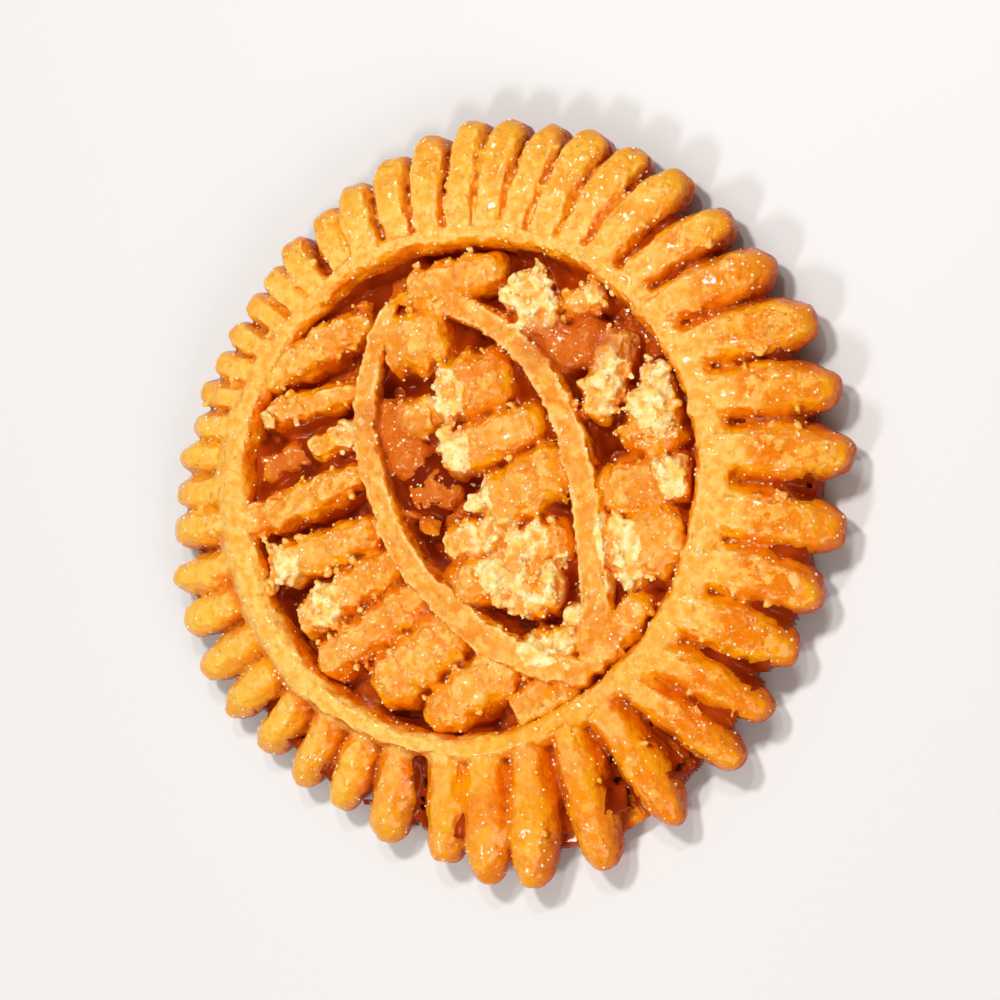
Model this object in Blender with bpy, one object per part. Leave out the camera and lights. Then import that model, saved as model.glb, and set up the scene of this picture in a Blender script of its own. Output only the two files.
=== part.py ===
"""Nakshi pitha: a round rice-flour cake, carved by hand, deep-fried and dipped in syrup.

One solid lies face up. A flat base carries a raised ring, a fringe of petals that points
outwards from the ring, a leaf of two arched ridges in the middle, and bars cut square to
the leaf's axis, most of them snapped short. +Z is up out of the carved face, the leaf's axis runs
from -X +Y to +X -Y, and the origin is under the middle of the cake, on the surface it lies on.
All lengths are in metres.
"""

import math
import random
from dataclasses import dataclass

import bmesh
import bpy
from mathutils import Matrix, Vector, noise

MM = 0.001

# Driving sizes
CAKE_HEIGHT = 9.0 * MM  # to the top of the ring
FLOOR_Z = 3.7 * MM  # the carved ground between the ridges
PETAL_COUNT = 43
LEAF_LENGTH = 59 * MM
LEAF_TURN = math.radians(-60)  # the leaf's axis, from +X

# The fringe, hand-cut and so uneven, read all round the cake. Each row is a direction, the
# pitch from one petal to the next and the lean of a petal's tip from its root, in degrees, how
# far the tip reaches from the cake's middle, in mm, and half a petal's width over its pitch.
FRINGE = (
    (5, 12.3, -3.4, 50.5, 0.43),
    (25, 11.7, -6.7, 49.9, 0.42),
    (45, 9.6, -6.8, 49.3, 0.46),
    (65, 7.6, -3.1, 50.3, 0.48),
    (90, 6.4, -2.3, 51.5, 0.50),
    (115, 7.8, -0.8, 48.8, 0.48),
    (140, 5.5, 1.6, 47.8, 0.50),
    (160, 6.1, 4.0, 48.4, 0.50),
    (185, 8.0, -0.3, 50.8, 0.47),
    (215, 8.3, -1.1, 50.9, 0.47),
    (240, 8.3, 0.2, 47.3, 0.47),
    (265, 11.0, -0.1, 49.5, 0.43),
    (288, 10.0, -6.8, 52.7, 0.46),
    (312, 7.4, 5.6, 49.2, 0.50),
    (335, 11.6, 2.4, 47.3, 0.42),
)

# The base and the ring. The ring sits off the middle, so the petals are longer on the +X side.
BASE_INSET = 4.4 * MM  # how far the base's edge stands back from the petals' tips
BASE_FLAT_SHARE = 0.88
BASE_EDGE_Z = 1.6 * MM
BASE_STEPS = 60
RING_CENTRE = Vector((-3.1, 1.75, 0)) * MM
RING_RADIUS = 34.6 * MM
RING_HALF_WIDTH = 2.1 * MM
RING_ROUNDING = 0.7 * MM
SKIRT_WIDTH = 2.2 * MM  # the ring's outer foot, where the petals' roots run together
SKIRT_TOP_Z = 6.9 * MM
SKIRT_EDGE_Z = 4.6 * MM
RING_BOTTOM_Z = 1.9 * MM
RING_WAIST_Z = 5.6 * MM
RING_WAVE = 0.35 * MM
RING_STEPS = 60

# The petals
PETAL_ROOT_RADIUS = 33.8 * MM  # from the ring's centre, inside the ring
PETAL_FIRST_ANGLE = math.radians(98.6)
PETAL_ROOT_SHARE = 0.86  # the width at the root and, below, at the tip, over the widest
PETAL_TIP_SHARE = (0.66, 0.86)
PETAL_PLUMP = (0.95, 1.05)
PETAL_SHORTFALL = 0.8 * MM
PETAL_SINK = 0.3 * MM
PETAL_BEND = 0.5 * MM
PETAL_DROOP = 1.5  # the power of the curve from the root's height down to the tip's
PETAL_BLUNT = 3.0
PETAL_ROOT_TOP_Z = 8.3 * MM
PETAL_TIP_TOP_Z = 6.0 * MM
PETAL_ROOT_BOTTOM_Z = 1.3 * MM
PETAL_TIP_BOTTOM_Z = 0.9 * MM

# The leaf
LEAF_CENTRE = Vector((0.5, 1.9, 0)) * MM
LEAF_BULGE_RIGHT = 13.9 * MM
LEAF_BULGE_LEFT = 15.4 * MM
LEAF_SKEW_RIGHT = 6 * MM  # how far the ridge's fullest place lies towards the leaf's upper end
LEAF_SKEW_LEFT = 1.2 * MM
RIDGE_HALF_WIDTH = 1.9 * MM
RIDGE_SPREAD = (0.9, 1.2)  # the width at the upper and the lower end, over the usual
RIDGE_TOP_Z = 8.9 * MM
RIDGE_BOTTOM_Z = 2.4 * MM
RIDGE_BLUNT = 9.0

# The bars
BAR_BOTTOM_Z = 2.6 * MM
BAR_BLUNT = 4.0

SECTION_POWER = 2.6  # 2 is a round section, and more is squarer
SIDES = 8
BAR_STEPS = 6
RIDGE_STEPS = 20
SURFACE_LUMP = 0.28 * MM
LUMP_SPACING = 3.2 * MM
SLIVER = 0.05 * MM  # points closer than this are one point
SEED = 4


@dataclass
class Bar:
    """A carved bar, or the block that is left where it snapped. Its place is in millimetres,
    along the leaf's axis and across it towards +X, from the leaf's centre."""

    along: float
    across: float
    length: float
    width: float
    top: float
    turn: float = 0.0  # degrees, out of square with the leaf's axis
    taper: float = 0.9  # width of the +X end, as a share of the -X end


# Between the leaf and the ring on the -X side.
LEFT_BARS = (
    Bar(-29.9, -13.7, 19.1, 5.7, 8.6, -4, 0.95),
    Bar(-24.1, -17.7, 15.9, 4.0, 8.3, -17, 0.90),
    Bar(-20.2, -26.1, 10.9, 4.4, 6.4, -17, 0.90),
    Bar(-17.3, -16.4, 9.3, 3.9, 8.0, -9, 1.00),
    Bar(-13.5, -25.6, 20.3, 5.4, 8.6, -10, 0.90),
    Bar(-5.7, -25.4, 18.9, 5.8, 8.6, -14, 0.90),
    Bar(1.3, -24.8, 18.1, 6.2, 8.6, -1, 0.95),
    Bar(7.3, -24.6, 19.8, 6.2, 8.5, 2, 1.00),
    Bar(14.2, -20.4, 16.5, 8.3, 8.8, 7, 1.00),
    Bar(22.2, -15.4, 17.1, 7.2, 8.7, 5, 1.10),
    Bar(28.9, -7.0, 11.0, 6.7, 8.2, -5, 0.95),
)
# Between the leaf and the ring on the +X side: snapped into blocks, most of them by the ring.
RIGHT_BARS = (
    Bar(-26.8, 9.2, 14.9, 5.8, 8.6, -22, 1.30),
    Bar(-17.4, 17.0, 9.9, 7.4, 8.7, -90, 0.85),
    Bar(-13.6, 23.5, 6.4, 4.3, 8.0, -2, 0.90),
    Bar(-9.7, 18.8, 10.5, 6.8, 7.6, -25, 0.90),
    Bar(-2.8, 22.0, 13.8, 6.8, 8.8, -138, 1.05),
    Bar(3.1, 24.5, 13.1, 8.0, 8.7, -127, 1.30),
    Bar(11.6, 18.7, 13.1, 7.5, 8.6, -22, 0.95),
    Bar(18.5, 15.2, 11.2, 9.7, 8.7, -14, 0.80),
    Bar(26.1, 6.6, 11.0, 5.1, 8.2, 23, 0.90),
)
# Inside the leaf: each bar is snapped across, and its halves lie at different heights.
INNER_BARS = (
    Bar(-22.9, 0.5, 9.7, 8.6, 8.6, -21, 1.00),
    Bar(-13.3, 4.6, 11.9, 8.7, 8.8, -19, 0.95),
    Bar(-14.2, -5.7, 9.2, 5.5, 7.6, -16, 1.00),
    Bar(-12.9, -9.5, 11.5, 6.3, 7.4, -90, 1.10),
    Bar(-5.4, 3.2, 16.1, 6.6, 8.7, -12, 0.95),
    Bar(-4.0, -7.9, 7.8, 5.8, 6.6, -11, 0.90),
    Bar(3.1, 4.1, 15.2, 8.4, 8.8, -4, 0.95),
    Bar(5.1, -5.8, 9.5, 5.6, 7.6, -18, 0.90),
    Bar(10.7, -7.7, 11.1, 6.9, 8.4, -24, 1.00),
    Bar(10.3, 2.1, 10.8, 6.5, 8.2, -25, 0.90),
    Bar(15.6, -1.6, 8.3, 7.3, 8.4, -24, 0.90),
    Bar(22.8, -5.3, 8.9, 5.6, 8.2, -18, 1.00),
    Bar(23.5, -0.8, 10.2, 5.0, 8.0, 39, 0.90),
)


def clear_scene():
    """Takes away whatever the file opened with."""
    for obj in list(bpy.data.objects):
        bpy.data.objects.remove(obj, do_unlink=True)


def superellipse(angle, power):
    """A point of a rounded square of half side 1."""
    cos, sin = math.cos(angle), math.sin(angle)
    return (
        math.copysign(abs(cos) ** (2 / power), cos),
        math.copysign(abs(sin) ** (2 / power), sin),
    )


def lumped(point):
    """The point, moved as fried dough swells and shrinks."""
    return point + noise.noise_vector(point / LUMP_SPACING) * SURFACE_LUMP


def mix(a, b, share):
    """The value this share of the way from a to b."""
    return a + (b - a) * share


def fringe(angle):
    """The fringe's pitch, lean, reach and fill in a direction, between the rows of its table."""
    degrees = math.degrees(angle) % 360
    rows = [(row[0] + turn, *row[1:]) for turn in (-360, 0, 360) for row in FRINGE]
    low = max(row for row in rows if row[0] <= degrees)
    high = min(row for row in rows if row[0] > degrees)
    share = (degrees - low[0]) / (high[0] - low[0])
    _, pitch, lean, reach, fill = (mix(a, b, share) for a, b in zip(low, high))
    return math.radians(pitch), math.radians(lean), reach * MM, fill


def along_bar(path, half_width, bottom_z, top_z, blunt, steps):
    """A closed body along a path in the plane, of rounded section and with round ends.

    path, half_width, bottom_z and top_z take 0 at the start and 1 at the end.
    blunt is the power of the end caps: 2 is an ellipse, and more is squarer.
    """
    body = bmesh.new()
    half_turn = Matrix.Rotation(math.pi / SIDES, 4, "Z")
    bmesh.ops.create_uvsphere(body, u_segments=SIDES, v_segments=steps, radius=1, matrix=half_turn)
    for vert in body.verts:
        reach = max(-1.0, min(1.0, vert.co.z))
        share = (reach + 1) / 2
        cap = max(0.0, 1 - abs(reach) ** blunt) ** (1 / blunt)
        across, up = superellipse(math.atan2(vert.co.y, vert.co.x), SECTION_POWER)
        ahead = path(min(1.0, share + 0.01)) - path(max(0.0, share - 0.01))
        side = Vector((-ahead.y, ahead.x, 0)).normalized()
        middle_z = (bottom_z(share) + top_z(share)) / 2
        half_height = (top_z(share) - bottom_z(share)) / 2
        spot = path(share) + side * (across * cap * half_width(share))
        spot.z = middle_z + up * cap * half_height
        vert.co = lumped(spot)
    return body


def turned(section, steps):
    """The body that a half section makes, turned once round the Z axis. Its points are (radius, z)."""
    body = bmesh.new()
    points = [body.verts.new((radius, 0, z)) for radius, z in section]
    edges = [body.edges.new(pair) for pair in zip(points, points[1:])]
    bmesh.ops.spin(
        body,
        geom=points + edges,
        axis=(0, 0, 1),
        cent=(0, 0, 0),
        angle=math.tau,
        steps=steps,
        use_merge=True,
    )
    bmesh.ops.remove_doubles(body, verts=body.verts, dist=1e-6)
    bmesh.ops.recalc_face_normals(body, faces=body.faces)
    return body


def base_disc():
    """The flat base, turned at a radius of 1 and then spread to stand back from the petals' tips."""
    body = turned(
        (
            (0, 0),
            (BASE_FLAT_SHARE, 0),
            (0.975, BASE_EDGE_Z / 3),
            (1, BASE_EDGE_Z),
            (0.98, FLOOR_Z - 0.9 * MM),
            (0.89, FLOOR_Z - 0.2 * MM),
            (0, FLOOR_Z),
        ),
        BASE_STEPS,
    )
    for vert in body.verts:
        _, _, reach, _ = fringe(math.atan2(vert.co.y, vert.co.x))
        vert.co.x *= reach - BASE_INSET
        vert.co.y *= reach - BASE_INSET
    return body


def ring():
    """The raised ring, turned from its rounded section and then waved a little."""
    inner, outer = RING_RADIUS - RING_HALF_WIDTH, RING_RADIUS + RING_HALF_WIDTH
    foot = outer + SKIRT_WIDTH
    section = (
        (inner, RING_BOTTOM_Z),
        (inner - 0.2 * MM, RING_WAIST_Z),
        (inner + 0.6 * MM, CAKE_HEIGHT - RING_ROUNDING),
        (RING_RADIUS, CAKE_HEIGHT),
        (outer - 0.4 * MM, CAKE_HEIGHT - 0.4 * MM),
        (foot - 1.0 * MM, SKIRT_TOP_Z),
        (foot, SKIRT_EDGE_Z),
        (foot - 0.8 * MM, RING_BOTTOM_Z),
    )
    body = turned(section + section[:1], RING_STEPS)
    for vert in body.verts:
        turn = math.atan2(vert.co.y, vert.co.x)
        swell = RING_WAVE * (math.sin(3 * turn + 0.6) + 0.6 * math.sin(7 * turn))
        outwards = Vector((vert.co.x, vert.co.y, 0)).normalized()
        vert.co = lumped(vert.co + outwards * swell + RING_CENTRE)
    return body


def petal_angles():
    """The direction of each petal's root from the ring's centre."""
    angles = [PETAL_FIRST_ANGLE]
    for _ in range(PETAL_COUNT):
        pitch, _, _, _ = fringe(angles[-1])
        angles.append(angles[-1] - pitch)
    gap = (PETAL_FIRST_ANGLE - angles.pop() - math.tau) / PETAL_COUNT
    return [angle + gap * number for number, angle in enumerate(angles)]


def rim_reach(direction, radius):
    """How far it is from the ring's centre, in a direction, to a circle round the origin."""
    along = RING_CENTRE.dot(direction)
    return math.sqrt(along**2 - RING_CENTRE.length_squared + radius**2) - along


def petal(angle, chance):
    """One petal: it springs from inside the ring, slopes down and narrows to its tip."""
    pitch, lean, reach, fill = fringe(angle)
    root = RING_CENTRE + Vector((math.cos(angle), math.sin(angle), 0)) * PETAL_ROOT_RADIUS
    outwards = Vector((math.cos(angle + lean), math.sin(angle + lean), 0))
    tip_radius = reach - chance.uniform(0, PETAL_SHORTFALL)
    tip = RING_CENTRE + outwards * rim_reach(outwards, tip_radius)
    bend = Vector((-math.sin(angle), math.cos(angle), 0)) * PETAL_BEND
    plump = chance.uniform(*PETAL_PLUMP)
    point = chance.uniform(*PETAL_TIP_SHARE)
    sink = chance.uniform(-PETAL_SINK, PETAL_SINK)
    mid_radius = ((root - RING_CENTRE).length + (tip - RING_CENTRE).length) / 2
    widest = fill * pitch * mid_radius * plump

    def path(share):
        return root.lerp(tip, share) + bend * math.sin(math.pi * share)

    def half_width(share):
        if share < 0.5:
            return widest * mix(PETAL_ROOT_SHARE, 1.0, share * 2)
        return widest * mix(1.0, point, share * 2 - 1)

    def bottom_z(share):
        return mix(PETAL_ROOT_BOTTOM_Z, PETAL_TIP_BOTTOM_Z, share)

    def top_z(share):
        return mix(PETAL_ROOT_TOP_Z, PETAL_TIP_TOP_Z, share**PETAL_DROOP) + sink

    return along_bar(path, half_width, bottom_z, top_z, PETAL_BLUNT, BAR_STEPS)


def leaf_frame():
    """The leaf's axis, and the way across it towards +X."""
    axis = Vector((math.cos(LEAF_TURN), math.sin(LEAF_TURN), 0))
    return axis, Vector((-axis.y, axis.x, 0))


def ridge_offset(station, bulge, skew):
    """How far a ridge's centreline stands from the leaf's axis: an arc, leaning to one end."""
    half = LEAF_LENGTH / 2
    radius = (half**2 + bulge**2) / (2 * bulge)
    leant = station + skew * (1 - (station / half) ** 2)
    return math.sqrt(radius**2 - leant**2) - (radius - bulge)


def ridge(bulge, skew, side):
    """One of the leaf's two arched ridges. side is 1 towards +X and -1 towards -X."""
    axis, across = leaf_frame()

    def path(share):
        station = (share - 0.5) * LEAF_LENGTH
        return LEAF_CENTRE + axis * station + across * side * ridge_offset(station, bulge, skew)

    def half_width(share):
        return RIDGE_HALF_WIDTH * mix(*RIDGE_SPREAD, share)

    return along_bar(
        path,
        half_width,
        lambda share: RIDGE_BOTTOM_Z,
        lambda share: RIDGE_TOP_Z,
        RIDGE_BLUNT,
        RIDGE_STEPS,
    )


def carved_bar(bar):
    """One bar, straight and a little wider at one end."""
    axis, across = leaf_frame()
    middle = LEAF_CENTRE + (axis * bar.along + across * bar.across) * MM
    reach = Matrix.Rotation(math.radians(bar.turn), 3, "Z") @ across * (bar.length * MM / 2)
    mean_width = bar.width * MM / (1 + bar.taper)

    return along_bar(
        lambda share: middle + reach * (2 * share - 1),
        lambda share: mean_width * mix(1, bar.taper, share),
        lambda share: BAR_BOTTOM_Z,
        lambda share: bar.top * MM,
        BAR_BLUNT,
        BAR_STEPS,
    )


def dough_material():
    """Fried dough under a thin coat of syrup."""
    material = bpy.data.materials.new("fried_dough")
    material.use_nodes = True
    shader = material.node_tree.nodes["Principled BSDF"]
    shader.inputs["Base Color"].default_value = (0.78, 0.36, 0.07, 1)
    shader.inputs["Roughness"].default_value = 0.35
    shader.inputs["Metallic"].default_value = 0.0
    return material


def keep_outer_shell(mesh):
    """Drops every shell but the largest: the hollows that the union seals, and any scrap."""
    work = bmesh.new()
    work.from_mesh(mesh)
    bmesh.ops.remove_doubles(work, verts=work.verts, dist=SLIVER)
    unseen = set(work.faces)
    shells = []
    while unseen:
        front = [unseen.pop()]
        shell = list(front)
        while front:
            own_edges = [edge for edge in front.pop().edges if len(edge.link_faces) == 2]
            near = {face for edge in own_edges for face in edge.link_faces} & unseen
            unseen -= near
            shell += near
            front += near
        shells.append(shell)
    shells.sort(key=len)
    bmesh.ops.delete(work, geom=[face for shell in shells[:-1] for face in shell], context="FACES")
    work.to_mesh(mesh)
    work.free()


def joined_solid(bodies, name):
    """One object from the union of all the bodies."""
    parts = bpy.data.collections.new("carving")
    bpy.context.scene.collection.children.link(parts)
    solid = None
    for number, body in enumerate(bodies):
        mesh = bpy.data.meshes.new(f"{name}_{number}")
        body.to_mesh(mesh)
        body.free()
        obj = bpy.data.objects.new(mesh.name, mesh)
        if solid is None:
            solid = obj
            bpy.context.scene.collection.objects.link(solid)
        else:
            parts.objects.link(obj)
    union = solid.modifiers.new("union", "BOOLEAN")
    union.operation = "UNION"
    union.operand_type = "COLLECTION"
    union.collection = parts
    union.solver = "MANIFOLD"
    bpy.context.view_layer.update()
    graph = bpy.context.evaluated_depsgraph_get()
    whole = bpy.data.meshes.new_from_object(solid.evaluated_get(graph))
    solid.modifiers.clear()
    keep_outer_shell(whole)
    solid.data = whole
    solid.name = whole.name = name
    for obj in list(parts.objects):
        bpy.data.objects.remove(obj, do_unlink=True)
    bpy.data.collections.remove(parts)
    return solid


def main():
    """Builds the cake as one solid."""
    clear_scene()
    noise.seed_set(SEED)
    chance = random.Random(SEED)
    bodies = [base_disc(), ring()]
    bodies += [petal(angle, chance) for angle in petal_angles()]
    bodies.append(ridge(LEAF_BULGE_RIGHT, LEAF_SKEW_RIGHT, 1))
    bodies.append(ridge(LEAF_BULGE_LEFT, LEAF_SKEW_LEFT, -1))
    bodies += [carved_bar(bar) for bar in LEFT_BARS + RIGHT_BARS + INNER_BARS]
    cake = joined_solid(bodies, "pitha")
    cake.data.materials.clear()
    cake.data.materials.append(dough_material())
    cake.data.shade_smooth()
    cake.data.set_sharp_from_angle(angle=math.radians(40))


main()
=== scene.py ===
"""Looks of the nakshi pitha: a carved rice-flour cake, fried and dipped in syrup.

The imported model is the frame. Its one node is replaced by three shells of dough that follow
the same carving, with syrup in the grooves, and crumbs and beads of syrup on the face. Lengths
are in metres. The bars of the carving are given in millimetres along and across the leaf.
"""

from __future__ import annotations

import logging
import math
import random
from dataclasses import dataclass
from enum import Enum
from typing import Callable, NamedTuple

import bmesh
import bpy
import numpy as np
from mathutils import Matrix, Vector, kdtree

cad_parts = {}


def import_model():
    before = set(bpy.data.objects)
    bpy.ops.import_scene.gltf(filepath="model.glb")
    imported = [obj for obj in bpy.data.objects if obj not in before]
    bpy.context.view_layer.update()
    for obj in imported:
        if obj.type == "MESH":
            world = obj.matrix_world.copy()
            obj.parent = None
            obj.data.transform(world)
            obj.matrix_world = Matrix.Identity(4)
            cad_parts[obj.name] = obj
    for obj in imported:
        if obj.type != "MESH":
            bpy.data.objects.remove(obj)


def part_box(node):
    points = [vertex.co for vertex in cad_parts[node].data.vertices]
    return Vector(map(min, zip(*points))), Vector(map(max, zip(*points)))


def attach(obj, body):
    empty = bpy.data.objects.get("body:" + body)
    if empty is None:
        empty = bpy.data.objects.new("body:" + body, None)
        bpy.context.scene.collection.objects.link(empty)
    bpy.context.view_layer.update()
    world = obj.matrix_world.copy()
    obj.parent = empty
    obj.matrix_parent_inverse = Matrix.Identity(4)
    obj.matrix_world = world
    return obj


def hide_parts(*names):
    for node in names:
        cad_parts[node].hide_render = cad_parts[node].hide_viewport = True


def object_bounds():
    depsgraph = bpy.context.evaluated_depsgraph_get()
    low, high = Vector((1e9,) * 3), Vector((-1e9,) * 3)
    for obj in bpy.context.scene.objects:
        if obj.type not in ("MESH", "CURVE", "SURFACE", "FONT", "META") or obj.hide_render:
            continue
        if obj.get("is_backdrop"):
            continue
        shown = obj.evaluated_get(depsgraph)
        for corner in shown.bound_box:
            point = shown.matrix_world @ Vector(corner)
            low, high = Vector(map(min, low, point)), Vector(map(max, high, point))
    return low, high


LOG = logging.getLogger("pitha")
MM = 0.001
SEED = 11
BODY = "root"
NODE = "pitha"

Share = Callable[[float], float]
Path = Callable[[float], Vector]
Field = Callable[[np.ndarray], np.ndarray]
Layer = tuple[float, float, int]

# Layers of noise: each is the spacing of its lumps in millimetres, its strength and its pattern.
JAGS = ((1.9, 1.0, 1), (0.9, 0.6, 2))
LUMPS = ((3.0, 0.22, 3), (1.2, 0.13, 4))
DENTS = ((2.8, 0.12, 5), (1.1, 0.10, 6))
CRAGS = ((2.4, 0.42, 63), (1.1, 0.22, 65))
TORN_BORDER = ((1.7, 0.3, 15), (0.8, 0.2, 16))
CRUST_FRINGE = ((1.6, 0.5, 12), (0.8, 0.3, 13))
UNDERSIDE_LUMPS = ((4.5, 0.22, 20), (1.6, 0.08, 21))


class Break(Enum):
    """How a bar of the carving came through the frying."""

    WHOLE = "whole, with its flat top"
    SNAPPED = "its top broken away at one end"
    CRUMBLED = "crumbled, its pale inside showing"
    SODDEN = "soft and red with syrup"


def mix(low: float, high: float, share: float) -> float:
    """The value this share of the way from low to high."""
    return low + (high - low) * share


def smooth_step(low: float, high: float, value: np.ndarray | float) -> np.ndarray | float:
    """0 below low, 1 above high, and a smooth rise between."""
    share = np.clip((value - low) / (high - low), 0.0, 1.0)
    return share * share * (3.0 - 2.0 * share)


def superellipse(angle: float, power: float) -> tuple[float, float]:
    """A point of a rounded square of half side 1."""
    cos, sin = math.cos(angle), math.sin(angle)
    return (
        math.copysign(abs(cos) ** (2 / power), cos),
        math.copysign(abs(sin) ** (2 / power), sin),
    )


def round_the_cake(table: tuple[tuple[float, ...], ...], side: float) -> tuple[float, ...]:
    """Reads a table that goes round the cake.

    Args:
        table: Rows of a direction in degrees, rising, and the values there.
        side: The direction asked for, in radians.

    Returns:
        The values there, between those of the two nearest rows.
    """
    degrees = math.degrees(side) % 360
    rows = [row for row in table] + [(table[0][0] + 360, *table[0][1:])]
    if degrees < rows[0][0]:
        degrees += 360
    for low, high in zip(rows, rows[1:]):
        if degrees <= high[0]:
            share = (degrees - low[0]) / (high[0] - low[0])
            return tuple(mix(a, b, share) for a, b in zip(low[1:], high[1:]))
    return rows[-1][1:]


@dataclass(frozen=True)
class Grain:
    """Seeded lattice noise, worked out for many places at once."""

    seed: int = SEED

    def chance(self, cell: np.ndarray, salt: int) -> np.ndarray:
        """A number from 0 to 1 for each whole-numbered cell, the same on every run."""
        mixed = (cell[:, 0] * 73856093) ^ (cell[:, 1] * 19349663) ^ (cell[:, 2] * 83492791)
        mixed = (mixed + (self.seed * 7919 + salt * 104729)) & 0xFFFFFFFF
        for _ in range(2):
            mixed = (((mixed >> 16) ^ mixed) * 0x45D9F3B) & 0xFFFFFFFF
        return ((mixed >> 16) ^ mixed) / 0xFFFFFFFF

    def smooth(self, places: np.ndarray, spacing: float, salt: int = 0) -> np.ndarray:
        """Smooth noise between about -1 and 1.

        Args:
            places: One place in each row.
            spacing: The distance between lumps.
            salt: Picks one of many patterns.

        Returns:
            One value for each place.
        """
        scaled = places / spacing
        cell = np.floor(scaled).astype(np.int64)
        within = scaled - cell
        ease = within**3 * (within * (within * 6 - 15) + 10)
        total = np.zeros(len(places))
        for step in np.ndindex(2, 2, 2):
            corner = np.array(step)
            rise = sum(
                (self.chance(cell + corner, salt * 3 + axis) * 2 - 1) * (within[:, axis] - corner[axis])
                for axis in range(3)
            )
            total += rise * np.where(corner == 1, ease, 1 - ease).prod(axis=1)
        return total * 1.7

    def layered(self, places: np.ndarray, layers: tuple[Layer, ...]) -> np.ndarray:
        """The sum of several layers of smooth noise."""
        return sum(self.smooth(places, spacing * MM, salt) * strength for spacing, strength, salt in layers)

    def shards(self, places: np.ndarray, spacing: float, salt: int = 0) -> tuple[np.ndarray, np.ndarray]:
        """Cuts space into grains.

        Args:
            places: One place in each row.
            spacing: The usual distance between grains.
            salt: Picks one of many scatters.

        Returns:
            How far each place is inside its grain, and the grain's own number from 0 to 1.
        """
        scaled = places / spacing
        cell = np.floor(scaled).astype(np.int64)
        nearest = np.full(len(places), 9.0)
        second = np.full(len(places), 9.0)
        number = np.zeros(len(places))
        for step in np.ndindex(3, 3, 3):
            there = cell + np.array(step) - 1
            seed = np.stack([self.chance(there, salt + 40 + axis) for axis in range(3)], axis=1)
            distance = np.linalg.norm(there + seed - scaled, axis=1)
            closer = distance < nearest
            second = np.where(closer, nearest, np.minimum(second, distance))
            number = np.where(closer, seed[:, 0], number)
            nearest = np.minimum(nearest, distance)
        return second - nearest, number


GRAIN = Grain()


@dataclass
class Loft:
    """A closed body of rounded section along a path in the plane, with round ends.

    Each function takes 0 at the start of the path and 1 at its end.
    """

    path: Path
    half_width: Share
    bottom: Share
    top: Share
    start_power: float = 4.0
    end_power: float = 4.0
    section_power: float = 2.6
    flare: float = 0.12
    shave: float = 0.8
    sides: int = 28
    steps: int = 24

    def add_to(self, body: bmesh.types.BMesh) -> None:
        """Adds the body to a mesh."""
        made = bmesh.ops.create_uvsphere(body, u_segments=self.sides, v_segments=self.steps, radius=1)
        for vert in made["verts"]:
            reach = max(-1.0, min(1.0, vert.co.z))
            share = (reach + 1) / 2
            power = self.end_power if reach > 0 else self.start_power
            cap = max(0.0, 1 - abs(reach) ** power) ** (1 / power)
            across, up = superellipse(math.atan2(vert.co.y, vert.co.x), self.section_power)
            across *= cap * self.half_width(share) * (1 - self.flare * up)
            up = min(up, self.shave) / self.shave if up > 0 else up
            ahead = self.path(min(1.0, share + 0.01)) - self.path(max(0.0, share - 0.01))
            side = Vector((-ahead.y, ahead.x, 0)).normalized()
            middle = (self.bottom(share) + self.top(share)) / 2
            half_height = (self.top(share) - self.bottom(share)) / 2
            spot = self.path(share) + side * across
            spot.z = middle + up * cap * half_height
            vert.co = spot


@dataclass
class Layout:
    """The plan of the carving, shared by every part of the cake."""

    radius: float
    height: float
    ring_centre: Vector
    leaf_centre: Vector
    floor: float = 3.9 * MM
    ring_radius: float = 34.6 * MM
    ring_half_width: float = 2.0 * MM
    leaf_length: float = 59 * MM
    leaf_turn: float = math.radians(-60)
    wettest_side: float = -0.5
    driest_side: float = 3.8

    @classmethod
    def from_box(cls, low: Vector, high: Vector) -> "Layout":
        """Works the plan out from the node's box.

        Args:
            low: The box's lowest corner.
            high: Its highest corner.

        Returns:
            The plan.
        """
        middle = Vector(((low[0] + high[0]) / 2, (low[1] + high[1]) / 2, 0))
        return cls(
            radius=(high[1] - low[1]) / 2,
            height=high[2] - 0.3 * MM,
            ring_centre=middle + Vector((-3.1, 1.75, 0)) * MM,
            leaf_centre=middle + Vector((0.5, 1.9, 0)) * MM,
        )

    def leaf_frame(self) -> tuple[Vector, Vector]:
        """The leaf's axis, and the way across it towards +X."""
        axis = Vector((math.cos(self.leaf_turn), math.sin(self.leaf_turn), 0))
        return axis, Vector((-axis.y, axis.x, 0))

    def damp(self, places: np.ndarray) -> np.ndarray:
        """How far syrup has darkened the crust: least on the ring, most on the petals by +X."""
        across, up = (places - np.array(self.ring_centre))[:, :2].T
        reach = np.hypot(across, up)
        on_petals = smooth_step(38.0 * MM, 43.0 * MM, reach)
        inside = 1 - smooth_step(self.ring_radius - 3.2 * MM, self.ring_radius - 1.6 * MM, reach)
        side = np.arctan2(up, across)
        wetter = 0.45 * np.clip(np.cos(side - self.wettest_side), 0, 1)
        drier = 0.45 * np.clip(np.cos(side - self.driest_side), 0, 1)
        patches = GRAIN.smooth(places, 7 * MM, 14) * 0.25
        return 0.05 + on_petals * (0.5 + wetter - drier) + inside * 0.45 + patches

    def on_leaf(self, along: float, across: float) -> Vector:
        """A place given in millimetres along and across the leaf, in the cake's frame."""
        axis, side = self.leaf_frame()
        return self.leaf_centre + (axis * along + side * across) * MM


@dataclass
class Bar:
    """A carved bar, placed in millimetres along the leaf and across it.

    Its turn is in degrees from square to the leaf's axis, its taper is its end's width over its
    start's, and torn_from and torn_to are the shares of its length between which it broke.
    """

    along: float
    across: float
    length: float
    width: float
    top: float
    turn: float = 0.0
    taper: float = 0.9
    state: Break = Break.WHOLE
    torn_from: float = 0.0
    torn_to: float = 0.3


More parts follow.
